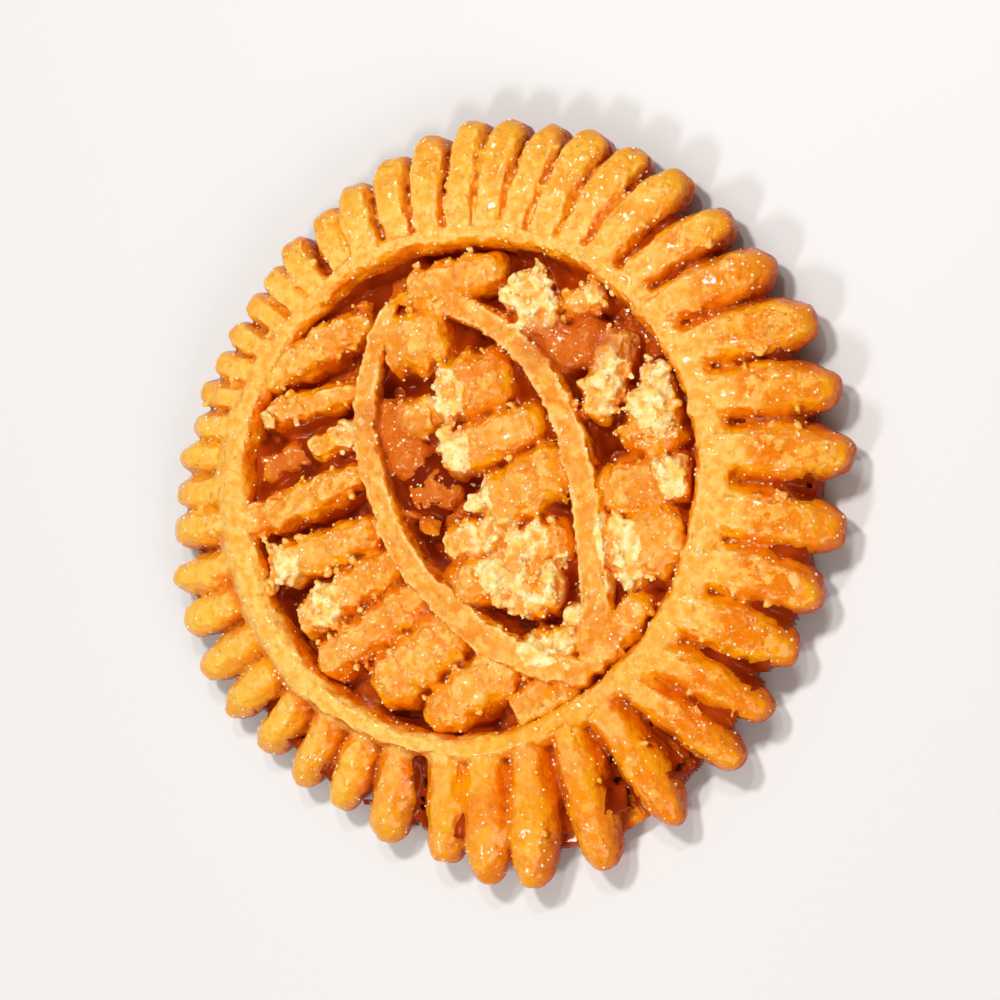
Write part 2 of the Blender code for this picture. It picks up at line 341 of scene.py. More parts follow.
def new_piece(name: str, body: bmesh.types.BMesh, smooth: bool = False) -> bpy.types.Object:
    """Makes an object of a body, which is used up, and puts it in the scene."""
    mesh = bpy.data.meshes.new(name)
    body.to_mesh(mesh)
    body.free()
    if smooth:
        mesh.shade_smooth()
    piece = bpy.data.objects.new(name, mesh)
    bpy.context.scene.collection.objects.link(piece)
    return piece


def apply_modifiers(piece: bpy.types.Object) -> None:
    """Replaces a piece's mesh by its mesh with all modifiers applied."""
    bpy.context.view_layer.update()
    graph = bpy.context.evaluated_depsgraph_get()
    finished = bpy.data.meshes.new_from_object(piece.evaluated_get(graph))
    raw = piece.data
    piece.modifiers.clear()
    piece.data = finished
    bpy.data.meshes.remove(raw)
    finished.name = piece.name


def vertex_rows(mesh: bpy.types.Mesh) -> np.ndarray:
    """The vertices' places, one in each row."""
    values = np.empty(len(mesh.vertices) * 3, np.float32)
    mesh.vertices.foreach_get("co", values)
    return values.reshape(-1, 3).astype(np.float64)


def normal_rows(mesh: bpy.types.Mesh) -> np.ndarray:
    """The vertices' normals, one in each row."""
    values = np.empty(len(mesh.vertices) * 3, np.float32)
    mesh.vertex_normals.foreach_get("vector", values)
    return values.reshape(-1, 3).astype(np.float64)


def move_vertices(mesh: bpy.types.Mesh, places: np.ndarray) -> None:
    """Moves the vertices to new places."""
    mesh.vertices.foreach_set("co", places.astype(np.float32).ravel())
    mesh.update()


def write_mark(mesh: bpy.types.Mesh, name: str, values: np.ndarray) -> None:
    """Keeps one number for each vertex, for the materials to read."""
    mark = mesh.attributes.new(name, "FLOAT", "POINT")
    mark.data.foreach_set("value", np.clip(values, 0.0, 1.0).astype(np.float32))


def near_balls(places: np.ndarray, balls: list[tuple[Vector, float]], margin: float) -> np.ndarray:
    """1 inside any of the balls, falling to 0 at the margin outside it."""
    found = np.zeros(len(places))
    if not balls:
        return found
    tree = kdtree.KDTree(len(balls))
    for number, (centre, _) in enumerate(balls):
        tree.insert(centre, number)
    tree.balance()
    for row, place in enumerate(places.tolist()):
        for _, number, distance in tree.find_n(place, 2):
            share = 1.0 - max(0.0, distance - balls[number][1]) / margin
            found[row] = max(found[row], share)
    return found


@dataclass
class Relief:
    """Heights of the carved face on a grid, and the level of what stands round each place."""

    pieces: list[bpy.types.Object]
    step: float = 0.35 * MM
    half_span: float = 53.9 * MM
    near: int = 5

    def __post_init__(self) -> None:
        """Reads the heights from the pieces."""
        self.cells = round(2 * self.half_span / self.step)
        heights = np.zeros((self.cells, self.cells))
        for piece in self.pieces:
            places = vertex_rows(piece.data)
            column, row = self.cell_of(places)
            np.maximum.at(heights, (row, column), places[:, 2])
        for _ in range(2):
            heights = np.where(heights > 0, heights, self.spread(heights, 1))
        self.heights = heights
        self.level = self.blur(self.spread(heights, self.near), 3)
        self.mean = self.blur(heights, 3)

    def cell_of(self, places: np.ndarray) -> tuple[np.ndarray, np.ndarray]:
        """The grid's column and row of each place."""
        found = ((places[:, :2] + self.half_span) / self.step).astype(int)
        found = np.clip(found, 0, self.cells - 1)
        return found[:, 0], found[:, 1]

    @staticmethod
    def spread(grid: np.ndarray, cells: int) -> np.ndarray:
        """The highest value within so many cells of each cell, in a rough circle."""
        straight = ((1, 0), (-1, 0), (0, 1), (0, -1))
        slanting = ((1, 1), (-1, -1), (1, -1), (-1, 1))
        for count in range(cells):
            grown = grid
            for shift in slanting if count % 2 else straight:
                grown = np.maximum(grown, np.roll(grid, shift, (0, 1)))
            grid = grown
        return grid

    @staticmethod
    def blur(grid: np.ndarray, times: int) -> np.ndarray:
        """The grid, smoothed by so many passes over its neighbours."""
        for _ in range(times):
            for side in (0, 1):
                grid = (np.roll(grid, 1, side) + 2 * grid + np.roll(grid, -1, side)) / 4
        return grid

    def read(self, grid: np.ndarray, places: np.ndarray) -> np.ndarray:
        """The grid's value at each place."""
        column, row = self.cell_of(places)
        return grid[row, column]


class Dough:
    """Bodies of dough that run together into one skin, which is then roughened and marked."""

    # The warp of the bodies: the spacing of its waves and how far they sway.
    warp = ((5.2 * MM, 0.3 * MM), (2.3 * MM, 0.14 * MM))
    # How far the ragged edges stand out, and how deep the thin cracks in the flat tops are.
    edge_lift = 0.42 * MM
    crack_depth = 0.22 * MM
    # The size of the plates that the crust is cracked into, and of the chips of a torn face.
    plate_size = 1.7 * MM
    chip_size = 1.9 * MM

    def __init__(self, name: str, voxel: float, most_faces: int) -> None:
        """Starts with no bodies.

        Args:
            name: The piece's name.
            voxel: The size of the skin's facets.
            most_faces: The most triangles that the finished piece may have.
        """
        self.name = name
        self.voxel = voxel
        self.most_faces = most_faces
        self.body = bmesh.new()
        self.broken: list[tuple[Vector, float]] = []
        self.sodden: list[tuple[Vector, float]] = []
        self.piece: bpy.types.Object = None

    def add_burr(self, spot: Vector, size: float, chance: random.Random, flat: float = 0.7) -> None:
        """Adds a small angular lump, which makes an edge ragged or a broken face crumbly."""
        made = bmesh.ops.create_icosphere(self.body, subdivisions=1, radius=size)
        for vert in made["verts"]:
            vert.co *= chance.uniform(0.75, 1.25)
        stretch = Matrix.Diagonal((chance.uniform(0.8, 1.4), chance.uniform(0.8, 1.2), flat, 1))
        axis = Vector((chance.uniform(-1, 1), chance.uniform(-1, 1), chance.uniform(-1, 1)))
        turn = Matrix.Rotation(chance.uniform(0, math.tau), 4, axis)
        where = Matrix.Translation(spot)
        bmesh.ops.transform(self.body, matrix=where @ turn @ stretch, verts=made["verts"])

    def fuse(self) -> None:
        """Warps the bodies and runs them together into one closed skin of even facets."""
        self.piece = new_piece(self.name, self.body)
        places = vertex_rows(self.piece.data)
        above = smooth_step(1.0 * MM, 3.0 * MM, places[:, 2])
        for salt, (spacing, sway) in enumerate(self.warp):
            for axis in (0, 1):
                places[:, axis] += GRAIN.smooth(places, spacing, 90 + salt * 2 + axis) * sway * above
        move_vertices(self.piece.data, places)
        remesh = self.piece.modifiers.new("fuse", "REMESH")
        remesh.mode = "VOXEL"
        remesh.voxel_size = self.voxel
        apply_modifiers(self.piece)

    def thin_out(self) -> None:
        """Takes facets out of the even stretches until the piece is under its limit."""
        self.piece.data.calc_loop_triangles()
        count = len(self.piece.data.loop_triangles)
        if count > self.most_faces:
            decimate = self.piece.modifiers.new("thin", "DECIMATE")
            decimate.ratio = self.most_faces / count
            apply_modifiers(self.piece)
        self.piece.data.shade_smooth()

    def roughen(self, relief: Relief, height: float, ragged: Field) -> None:
        """Gives the skin its ragged top edges, its lumpy sides, its cracks and its crags.

        Args:
            relief: The heights of the carved face.
            height: The height that nothing rises above.
            ragged: How ragged the top edges are at each place, from 0 to 1.
        """
        mesh = self.piece.data
        places, normals = vertex_rows(mesh), normal_rows(mesh)
        depth = relief.read(relief.level, places) - places[:, 2]
        off_ground = smooth_step(0.6 * MM, 2.0 * MM, places[:, 2])
        top = smooth_step(0.62, 0.9, normals[:, 2]) * (1 - smooth_step(0.7 * MM, 1.6 * MM, depth))
        side = 1 - smooth_step(0.4, 0.85, np.abs(normals[:, 2]))
        edge = side * (1 - smooth_step(0.7 * MM, 2.2 * MM, depth)) * ragged(places)
        upright = places * np.array((1.0, 1.0, 0.4))
        jags, lumps = GRAIN.layered(upright, JAGS), GRAIN.layered(places, LUMPS)
        dents = GRAIN.layered(places, DENTS)
        within, number = GRAIN.shards(places, self.plate_size, 20)
        joint = 1 - smooth_step(0, 0.16, within)
        dents += ((number - 0.5) * 0.16 - joint * 0.07) * ragged(places)
        cracks = 1 - smooth_step(0.0, 0.10, np.abs(GRAIN.smooth(places, 3.6 * MM, 7)))
        cracks *= smooth_step(0.0, 0.3, GRAIN.smooth(places, 6 * MM, 8))
        lift = edge * jags * self.edge_lift + lumps * (1 - top) * MM + dents * top * MM
        lift -= cracks * top * self.crack_depth
        if self.broken:
            torn = self.torn(places) * smooth_step(-0.3, 0.3, normals[:, 2])
            crags = GRAIN.layered(places, CRAGS)
            crags += (GRAIN.shards(places, self.chip_size, 60)[1] - 0.5) * 0.34
            lift += torn * (crags - 0.12) * MM
            # Where the torn face sinks between its chips; the colours paint shade there by it.
            write_mark(mesh, "sunk", torn * smooth_step(0.05, -0.3, crags))
        places += normals * (lift * off_ground)[:, None]
        places[:, 2] = np.minimum(places[:, 2], height + (places[:, 2] - height) * 0.15)
        move_vertices(mesh, places)
        mesh.shade_smooth()

    def torn(self, places: np.ndarray) -> np.ndarray:
        """1 where the dough broke open, with a ragged border, and 0 elsewhere."""
        near = near_balls(places, self.broken, 1.0 * MM)
        return smooth_step(0.6, 0.75, near + GRAIN.layered(places, TORN_BORDER))

    def mark(self, relief: Relief, plan: Layout, dry: Field, pale: Field) -> None:
        """Writes the marks that the colours follow.

        They say where the skin is: crust that is flat and dry, wet with syrup, steep, deep below
        its surroundings, in a hollow, a petal's tip, broken open, or sodden.

        Args:
            relief: The heights of the carved face.
            plan: The plan of the carving.
            dry: How dry and flat the crust is at each place.
            pale: Where the dough is pale yellow though it isn't a petal's tip.
        """
        mesh = self.piece.data
        places, normals = vertex_rows(mesh), normal_rows(mesh)
        depth = relief.read(relief.level, places) - places[:, 2]
        hollow = relief.read(relief.mean, places) - places[:, 2]
        fringe = GRAIN.layered(places, CRUST_FRINGE)
        flat = smooth_step(0.72, 0.97, normals[:, 2]) * (1 - smooth_step(0.4 * MM, 1.7 * MM, depth))
        from_middle = np.hypot(places[:, 0], places[:, 1])
        bare = pale(places) * smooth_step(0.45, 0.8, normals[:, 2])
        crust = smooth_step(0.35, 0.7, flat + fringe * 0.45) * dry(places)
        write_mark(mesh, "crust", np.maximum(crust, bare))
        damp = plan.damp(places)
        write_mark(mesh, "wet", damp * (1 - bare))
        # How steep the skin is; the colours paint shade on steep sides by it, and the coat thins there.
        write_mark(mesh, "steep", 1 - smooth_step(0.3, 0.8, normals[:, 2]))
        # How deep the skin lies below what stands round it; the colours paint shade, with syrup, by it.
        write_mark(mesh, "deep", depth / (5.5 * MM))
        # How far the skin lies below its surroundings, 0.5 where level; the colours paint shade in hollows
        # and light on crests by it.
        write_mark(mesh, "hollow", 0.5 + hollow / (1.8 * MM))
        tip = smooth_step(0.74 * plan.radius, 0.93 * plan.radius, from_middle) * dry(places)
        write_mark(mesh, "tip", np.maximum(tip * np.clip(1.1 - damp, 0, 1), bare * 0.2))
        write_mark(mesh, "broken", self.torn(places))
        write_mark(mesh, "sodden", near_balls(places, self.sodden, 1.8 * MM))


@dataclass
class Base:
    """The uncarved underside and the dough under the carving."""

    fringe: "Rim"
    inset: float = 4.6 * MM
    flat_share: float = 0.88
    top: float = 3.2 * MM
    rings: int = 128

    def build(self) -> Dough:
        """Turns the disc from half of its section and spreads it to stand back from the tips.

        Returns:
            The dough, as one piece.
        """
        section = (
            (0.0, 0.0),
            (self.flat_share * 0.25, 0.0),
            (self.flat_share * 0.5, 0.0),
            (self.flat_share * 0.75, 0.0),
            (self.flat_share, 0.0),
            (0.95, 0.3 * MM),
            (0.985, 0.9 * MM),
            (1.0, 1.7 * MM),
            (0.987, self.top - 0.6 * MM),
            (0.93, self.top),
            (0.5, self.top),
            (0.0, self.top),
        )
        dough = Dough("underside", 0.6 * MM, 60_000)
        points = [dough.body.verts.new((reach, 0, z)) for reach, z in section]
        edges = [dough.body.edges.new(pair) for pair in zip(points, points[1:])]
        turn_section(dough.body, points + edges, self.rings, Vector())
        for vert in dough.body.verts:
            spread = self.fringe.tip_reach(math.atan2(vert.co.y, vert.co.x)) - self.inset
            vert.co = Vector((vert.co.x * spread, vert.co.y * spread, vert.co.z))
        dough.fuse()
        mesh = dough.piece.data
        places, normals = vertex_rows(mesh), normal_rows(mesh)
        lumps = GRAIN.layered(places, UNDERSIDE_LUMPS)
        rises = np.where(normals[:, 2] < -0.6, np.abs(lumps) * -0.9, lumps)
        places += normals * (rises * MM)[:, None]
        places[:, 2] = np.maximum(places[:, 2], 0.0)
        move_vertices(mesh, places)
        return dough


def turn_section(body: bmesh.types.BMesh, geometry: list, steps: int, centre: Vector) -> None:
    """Turns a section once round the upright axis and moves the closed result to its centre."""
    bmesh.ops.spin(
        body,
        geom=geometry,
        axis=(0, 0, 1),
        cent=(0, 0, 0),
        angle=math.tau,
        steps=steps,
        use_merge=True,
    )
    bmesh.ops.remove_doubles(body, verts=body.verts, dist=1e-6)
    bmesh.ops.recalc_face_normals(body, faces=body.faces)
    bmesh.ops.translate(body, verts=body.verts, vec=centre)


class Petal(NamedTuple):
    """A petal's shape: angles in degrees, its reach and heights in millimetres.

    Its fill is half its width over the pitch, the widths at its root and tip are shares of the
    widest place, and the powers shape its end and its section. The last two say how ragged its
    edges are and how dry its crust is.
    """

    pitch: float
    lean: float
    reach: float
    fill: float
    root_width: float
    tip_width: float
    end_power: float
    section_power: float
    root_top: float
    tip_top: float
    ragged: float
    dry: float


@dataclass
class Rim:
    """The raised ring and the fringe of petals round it."""

    plan: Layout
    usual_radius: float = 51.2 * MM
    petal_count: int = 43
    first_angle: float = math.radians(98.6)
    root_radius: float = 33.2 * MM
    root_bottom: float = 1.3 * MM
    tip_bottom: float = 0.9 * MM
    ring_bottom: float = 1.9 * MM
    widest_at: float = 0.55
    voxel: float = 0.30 * MM
    most_faces: int = 195_000

    # Each row is a direction in degrees, from +X towards +Y, and the Petal there.
    petal_table = (
        (5, 12.3, -3.4, 50.5, 0.480, 0.84, 0.76, 2.9, 2.4, 8.8, 7.1, 1.0, 0.95),
        (25, 11.7, -6.7, 49.9, 0.475, 0.84, 0.82, 3.0, 2.4, 8.8, 7.3, 0.9, 0.9),
        (45, 9.6, -6.8, 49.3, 0.515, 0.84, 0.95, 3.2, 2.6, 8.8, 7.4, 0.8, 0.85),
        (65, 7.6, -3.1, 50.3, 0.550, 0.88, 1.02, 3.3, 3.0, 8.8, 7.7, 0.7, 0.95),
        (90, 6.4, -2.3, 51.5, 0.575, 0.90, 1.08, 3.4, 3.4, 8.8, 7.9, 0.7, 1.0),
        (115, 7.8, -0.8, 48.8, 0.550, 0.90, 1.08, 3.4, 3.2, 8.8, 7.7, 0.7, 1.0),
        (140, 5.5, 1.6, 47.8, 0.585, 0.90, 1.05, 3.1, 2.8, 8.7, 7.3, 0.5, 0.9),
        (160, 6.1, 4.0, 48.4, 0.570, 0.88, 1.00, 2.8, 2.5, 8.4, 6.7, 0.3, 0.9),
        (185, 8.0, -0.3, 50.8, 0.530, 0.90, 0.90, 2.6, 2.3, 8.1, 6.3, 0.2, 0.9),
        (215, 8.3, -1.1, 50.9, 0.510, 0.92, 0.90, 2.6, 2.1, 7.7, 5.9, 0.1, 0.85),
        (240, 8.3, 0.2, 47.3, 0.515, 0.92, 0.98, 2.7, 2.1, 7.8, 6.1, 0.1, 0.8),
        (265, 11.0, -0.1, 49.5, 0.475, 0.88, 0.95, 2.8, 2.05, 8.4, 6.7, 0.1, 0.45),
        (288, 10.0, -6.8, 52.7, 0.485, 0.88, 0.92, 2.7, 2.1, 8.6, 6.9, 0.2, 0.5),
        (312, 7.4, 5.6, 49.2, 0.585, 0.88, 0.84, 2.7, 2.2, 8.8, 7.1, 0.6, 0.75),
        (335, 11.6, 2.4, 47.3, 0.495, 0.84, 0.76, 2.9, 2.4, 8.8, 7.1, 0.9, 0.9),
    )
    # Direction, then how wide the flat of the ring is and how far its outer side drops, in
    # millimetres.
    band_table = (
        (0, 5.4, 0.2),
        (40, 4.2, 0.1),
        (70, 3.1, 0.1),
        (100, 2.9, 0.1),
        (135, 3.3, 0.2),
        (165, 5.6, 0.3),
        (190, 6.2, 0.8),
        (225, 5.4, 1.4),
        (262, 3.3, 0.8),
        (300, 4.2, 0.3),
        (335, 5.2, 0.2),
    )

    def add_ring(self, dough: Dough) -> None:
        """Turns the ring, with the band at its foot that joins the petals' roots."""
        half = self.plan.ring_half_width
        top = self.plan.height
        section = (
            (-half - 0.2 * MM, self.ring_bottom),
            (-half - 0.3 * MM, top - 3.0 * MM),
            (-half, top - 1.6 * MM),
            (-half + 0.6 * MM, top - 0.6 * MM),
            (-half + 1.2 * MM, top - 0.15 * MM),
            (0, top - 0.05 * MM),
            (half * 0.6, top - 0.1 * MM),
            (half, top - 0.3 * MM),
            (half + 0.6 * MM, top - 0.6 * MM),
            (half + 1.0 * MM, top - 1.1 * MM),
            (half + 1.3 * MM, top - 3.0 * MM),
            (half + 1.3 * MM, self.ring_bottom),
        )
        points = [dough.body.verts.new((self.plan.ring_radius + across, 0, z)) for across, z in section]
        edges = [dough.body.edges.new(pair) for pair in zip(points, points[1:] + points[:1])]
        turn_section(dough.body, points + edges, 240, Vector())
        for vert in dough.body.verts:
            self.shape_ring_vertex(vert)

    def shape_ring_vertex(self, vert: bmesh.types.BMVert) -> None:
        """Waves the ring, widens its band and drops it where the ring stands alone as a rope."""
        turn = math.atan2(vert.co.y, vert.co.x)
        reach = math.hypot(vert.co.x, vert.co.y)
        outwards = Vector((vert.co.x, vert.co.y, 0)) / reach
        wide, drop = round_the_cake(self.band_table, turn)
        half = self.plan.ring_half_width
        beyond = max(0.0, reach - self.plan.ring_radius)
        stretch = (wide * MM - half) / (half + 1.0 * MM)
        swell = 0.35 * MM * (math.sin(3 * turn + 0.6) + 0.6 * math.sin(7 * turn))
        vert.co += outwards * (swell + beyond * (stretch - 1))
        if vert.co.z > 4 * MM:
            vert.co.z -= float(smooth_step(0.5 * half, half + 1.0 * MM, beyond)) * drop * MM
        vert.co += self.plan.ring_centre

    def tip_reach(self, side: float) -> float:
        """How far a petal's tip reaches from the cake's middle, in a direction."""
        return self.petal_at(side).reach * MM * self.plan.radius / self.usual_radius

    def petal_at(self, side: float) -> Petal:
        """The shape of the petals in a direction, in radians."""
        return Petal(*round_the_cake(self.petal_table, side))

    def petal_angles(self) -> list[float]:
        """The direction of each petal's root from the ring's centre."""
        angles = [self.first_angle]
        for _ in range(self.petal_count):
            angles.append(angles[-1] - math.radians(self.petal_at(angles[-1]).pitch))
        gap = (self.first_angle - angles.pop() - math.tau) / self.petal_count
        return [angle + gap * number for number, angle in enumerate(angles)]

    def rim_reach(self, direction: Vector, radius: float) -> float:
        """How far it is from the ring's centre to a circle round the cake's middle."""
        along = self.plan.ring_centre.dot(direction)
        return math.sqrt(along**2 - self.plan.ring_centre.length_squared + radius**2) - along

    def add_petal(self, dough: Dough, angle: float, chance: random.Random) -> None:
        """Adds one petal, which springs from inside the ring and slopes down to its tip.

        Args:
            dough: The dough that takes it.
            angle: The direction of its root from the ring's centre.
            chance: The source of its own small differences.
        """
        petal = self.petal_at(angle)
        centre = self.plan.ring_centre
        root = centre + Vector((math.cos(angle), math.sin(angle), 0)) * self.root_radius
        turn = angle + math.radians(petal.lean) + chance.uniform(-0.01, 0.01)
        outwards = Vector((math.cos(turn), math.sin(turn), 0))
        tip_radius = self.tip_reach(angle) + chance.uniform(-0.6, 0.2) * MM
        tip = centre + outwards * self.rim_reach(outwards, tip_radius)
        sideways = Vector((-math.sin(angle), math.cos(angle), 0))
        bend = sideways * chance.uniform(0.2, 0.8) * MM
        plump = chance.uniform(0.96, 1.04)
        tip_width = petal.tip_width * chance.uniform(0.92, 1.08)
        sink = chance.uniform(-0.25, 0.2) * MM
        lobes, phase = chance.uniform(2.2, 3.6), chance.uniform(0, math.tau)
        mid_radius = ((root - centre).length + (tip - centre).length) / 2
        widest = petal.fill * math.radians(petal.pitch) * mid_radius * plump

        def path(share: float) -> Vector:
            return root.lerp(tip, share) + bend * math.sin(math.pi * share)

        def half_width(share: float) -> float:
            wave = 1 + 0.02 * math.sin(lobes * math.tau * share + phase)
            if share < self.widest_at:
                return widest * wave * mix(petal.root_width, 1.0, share / self.widest_at)
            beyond = (share - self.widest_at) / (1 - self.widest_at)
            return widest * wave * mix(1.0, tip_width, beyond)

        def top(share: float) -> float:
            wave = 0.12 * math.sin(lobes * math.tau * share + phase + 1.5)
            return (mix(petal.root_top, petal.tip_top, share**1.9) + wave) * MM + sink

        Loft(
            path=path,
            half_width=half_width,
            bottom=lambda share: mix(self.root_bottom, self.tip_bottom, share),
            top=top,
            start_power=9.0,
            end_power=petal.end_power,
            section_power=petal.section_power,
            flare=0.15 if petal.section_power > 2.7 else 0.2,
            shave=0.97 if petal.section_power < 2.3 else 0.89,
        ).add_to(dough.body)
        for _ in range(round(3 * petal.ragged)):
            share = chance.uniform(0.35, 0.85)
            side = chance.choice((-1, 1))
            spot = path(share) + sideways * side * half_width(share) * chance.uniform(0.7, 0.86)
            spot.z = top(share) - chance.uniform(0.3, 1.0) * MM
            dough.add_burr(spot, chance.uniform(0.4, 0.6) * MM, chance, 0.6)

    def build(self) -> Dough:
        """Builds the ring and the petals as one skin.

        Returns:
            The dough, as one piece.
        """
        dough = Dough("rim", self.voxel, self.most_faces)
        self.add_ring(dough)
        chance = random.Random(SEED)
        for angle in self.petal_angles():
            self.add_petal(dough, angle, chance)
        dough.fuse()
        return dough

    def column(self, name: str, places: np.ndarray) -> np.ndarray:
        """One value of the petals' table, read at each place."""
        side = np.degrees(np.arctan2(places[:, 1], places[:, 0]))
        values = [getattr(self.petal_at(math.radians(turn)), name) for turn in range(360)]
        return np.array(values)[side.astype(int) % 360]

    def ragged(self, places: np.ndarray) -> np.ndarray:
        """How ragged the top edges are: most on the +X side, least towards -Y."""
        return 0.1 + 0.75 * self.column("ragged", places)

    def dry(self, places: np.ndarray) -> np.ndarray:
        """How dry the crust is: the petals towards -Y are round and glazed all over."""
        return self.column("dry", places)

    def rope(self, places: np.ndarray) -> np.ndarray:
        """1 on the stretch of the ring that stands alone as a pale rope, and 0 elsewhere."""
        across, up = (places - np.array(self.plan.ring_centre))[:, :2].T
        near = 1 - smooth_step(1.8 * MM, 3.2 * MM, np.abs(np.hypot(across, up) - self.plan.ring_radius))
        return near * smooth_step(0.55, 0.85, np.cos(np.arctan2(up, across) - math.radians(228)))


@dataclass
class Heart:
    """The carved field inside the ring: the leaf, its bars, and what is left of the broken ones."""

    plan: Layout
    bulge_right: float = 13.9 * MM
    bulge_left: float = 15.4 * MM
    skew_right: float = 6 * MM
    skew_left: float = 1.2 * MM
    ridge_half_width: float = 2.05 * MM
    ridge_top: float = 8.9 * MM
    bar_bottom: float = 2.2 * MM
    bar_swell: float = 1.13
    lobe_length: float = 4.2
    bits_height: float = 5.6 * MM
    # The small lumps between the bars: place along +X and +Y, size, and flatness.
    bits = (
        (-14.0, -26.0, 1.7, 0.9),
        (-12.0, -2.0, 1.9, 0.35),
        (-9.6, -3.4, 1.5, 0.4),
        (-19.6, 26.6, 1.2, 0.8),
        (-23.0, 8.0, 1.3, 0.6),
        (15.5, 13.5, 1.1, 0.8),
    )
    voxel: float = 0.26 * MM
    most_faces: int = 195_000

    def bars(self) -> tuple[Bar, ...]:
        """All the bars: beside the leaf towards -X, beside it towards +X, and inside it."""
        whole, snapped, crumbled, sodden = Break.WHOLE, Break.SNAPPED, Break.CRUMBLED, Break.SODDEN
        return (
            Bar(-29.9, -13.7, 19.1, 5.7, 8.7, -4, 0.95, whole),
            Bar(-24.1, -17.7, 15.9, 4, 8.4, -17, 0.9, snapped, 0, 0.12),
            Bar(-20.2, -26.1, 10.9, 4.4, 6.4, -17, 0.9, sodden),
            Bar(-17.3, -16.4, 9.3, 3.9, 8.1, -9, 1, snapped, 0.5, 1),
            Bar(-13.5, -25.6, 20.3, 5.4, 8.7, -10, 0.9, whole),
            Bar(-5.7, -25.4, 18.9, 5.8, 8.7, -14, 0.9, snapped, 0, 0.2),
            Bar(1.3, -24.8, 18.1, 6.2, 8.7, -1, 0.95, snapped, 0.12, 0.4),
            Bar(7.3, -24.6, 19.8, 6.2, 8.6, 2, 1, whole),
            Bar(14.2, -20.4, 16.5, 8.3, 8.8, 7, 1, whole),
            Bar(22.2, -15.4, 17.1, 7.2, 8.8, 5, 1.1, whole),
            Bar(28.9, -7, 11, 6.7, 8.3, -5, 0.95, whole),
            Bar(-26.8, 9.2, 14.9, 5.8, 8.7, -22, 1.3, whole),
            Bar(-17.4, 17, 9.9, 7.4, 8.8, -90, 0.85, crumbled, 0, 1),
            Bar(-13.6, 23.5, 6.4, 4.3, 8.1, -2, 0.9, snapped, 0.6, 0.9),
            Bar(-9.7, 18.8, 10.5, 6.8, 7.6, -25, 0.9, sodden),
            Bar(-3.5, 21.2, 13.4, 5.9, 8.8, -138, 1.15, crumbled, 0, 0.85),
            Bar(3.9, 24.9, 13.1, 7.3, 8.8, -127, 2.4, crumbled, 0, 0.7),
            Bar(11.6, 18.7, 13.1, 7.5, 8.7, -22, 0.95, snapped, 0.7, 0.95),
            Bar(18.5, 15.2, 11.2, 9.7, 8.8, -14, 0.8, snapped, 0.12, 0.22),
            Bar(26.1, 6.6, 11, 5.1, 8.3, 23, 0.9, whole),
            Bar(-22.9, 0.5, 9.7, 8.6, 8.7, -21, 1, whole),
            Bar(-13.3, 4.6, 11.9, 8.7, 8.8, -19, 0.95, snapped, 0.1, 0.3),
            Bar(-14.2, -5.7, 9.2, 5.5, 7.7, -16, 1, whole),
            Bar(-12.9, -9.5, 11.5, 6.3, 7.4, -90, 1.1, sodden),
            Bar(-5.4, 3.2, 16.1, 6.6, 8.8, -12, 0.95, snapped, 0, 0.25),
            Bar(-4, -7.9, 7.8, 5.8, 6.6, -11, 0.9, sodden),
            Bar(3.1, 4.1, 15.2, 8.4, 8.8, -4, 0.95, snapped, 0, 0.15),
            Bar(5.1, -5.8, 9.5, 5.6, 7.7, -18, 0.9, snapped, 0.4, 0.8),
            Bar(10.7, -7.7, 11.1, 6.9, 8.5, -24, 1, snapped, 0.65, 0.9),
            Bar(10.3, 2.1, 10.8, 6.5, 8.3, -25, 0.9, snapped, 0.1, 0.5),
            Bar(15.6, -1.6, 8.3, 7.3, 8.5, -24, 0.9, crumbled, 0, 1),
            Bar(22.8, -5.3, 8.9, 5.6, 8.3, -18, 1, snapped, 0.3, 0.9),
            Bar(23.5, -0.8, 10.2, 5, 8.1, 39, 0.9, crumbled, 0, 1),
        )

    def ridge_offset(self, station: float, bulge: float, skew: float) -> float:
        """How far a ridge stands from the leaf's axis: an arc, leaning to one end."""
        half = self.plan.leaf_length / 2
        radius = (half**2 + bulge**2) / (2 * bulge)
        leant = station + skew * (1 - (station / half) ** 2)
        return math.sqrt(radius**2 - leant**2) - (radius - bulge)

    def add_floor(self, dough: Dough) -> None:
        """Adds the carved ground, which ends out of sight inside the ring."""
        reach = self.plan.ring_radius + 0.4 * MM
        rings = 12
        bottom = [(reach * i / rings, 1.2 * MM) for i in range(rings + 1)]
        top = [(reach * i / rings, self.plan.floor) for i in range(rings, -1, -1)]
        points = [dough.body.verts.new((across, 0, z)) for across, z in bottom + top]
        edges = [dough.body.edges.new(pair) for pair in zip(points, points[1:])]
        turn_section(dough.body, points + edges, 120, self.plan.ring_centre)
        for vert in dough.body.verts:
            if vert.co.z > 2 * MM:
                row = np.array([vert.co[:]])
                vert.co.z += (GRAIN.smooth(row, 7 * MM, 30)[0] * 0.8 + 0.2) * MM

    def add_ridge(self, dough: Dough, bulge: float, skew: float, side: int) -> None:
        """Adds one of the leaf's two arched ridges, towards +X for side 1 and -X for -1."""
        axis, across = self.plan.leaf_frame()

        def path(share: float) -> Vector:
            station = (share - 0.5) * self.plan.leaf_length
            offset = side * self.ridge_offset(station, bulge, skew)
            return self.plan.leaf_centre + axis * station + across * offset

        Loft(
            path=path,
            half_width=lambda share: self.ridge_half_width * mix(0.9, 1.2, share),
            bottom=lambda share: self.bar_bottom,
            top=lambda share: self.ridge_top - 0.35 * MM * math.sin(7 * share + side),
            end_power=9.0,
            section_power=3.6,
            flare=0.05,
            shave=0.86,
            steps=72,
        ).add_to(dough.body)

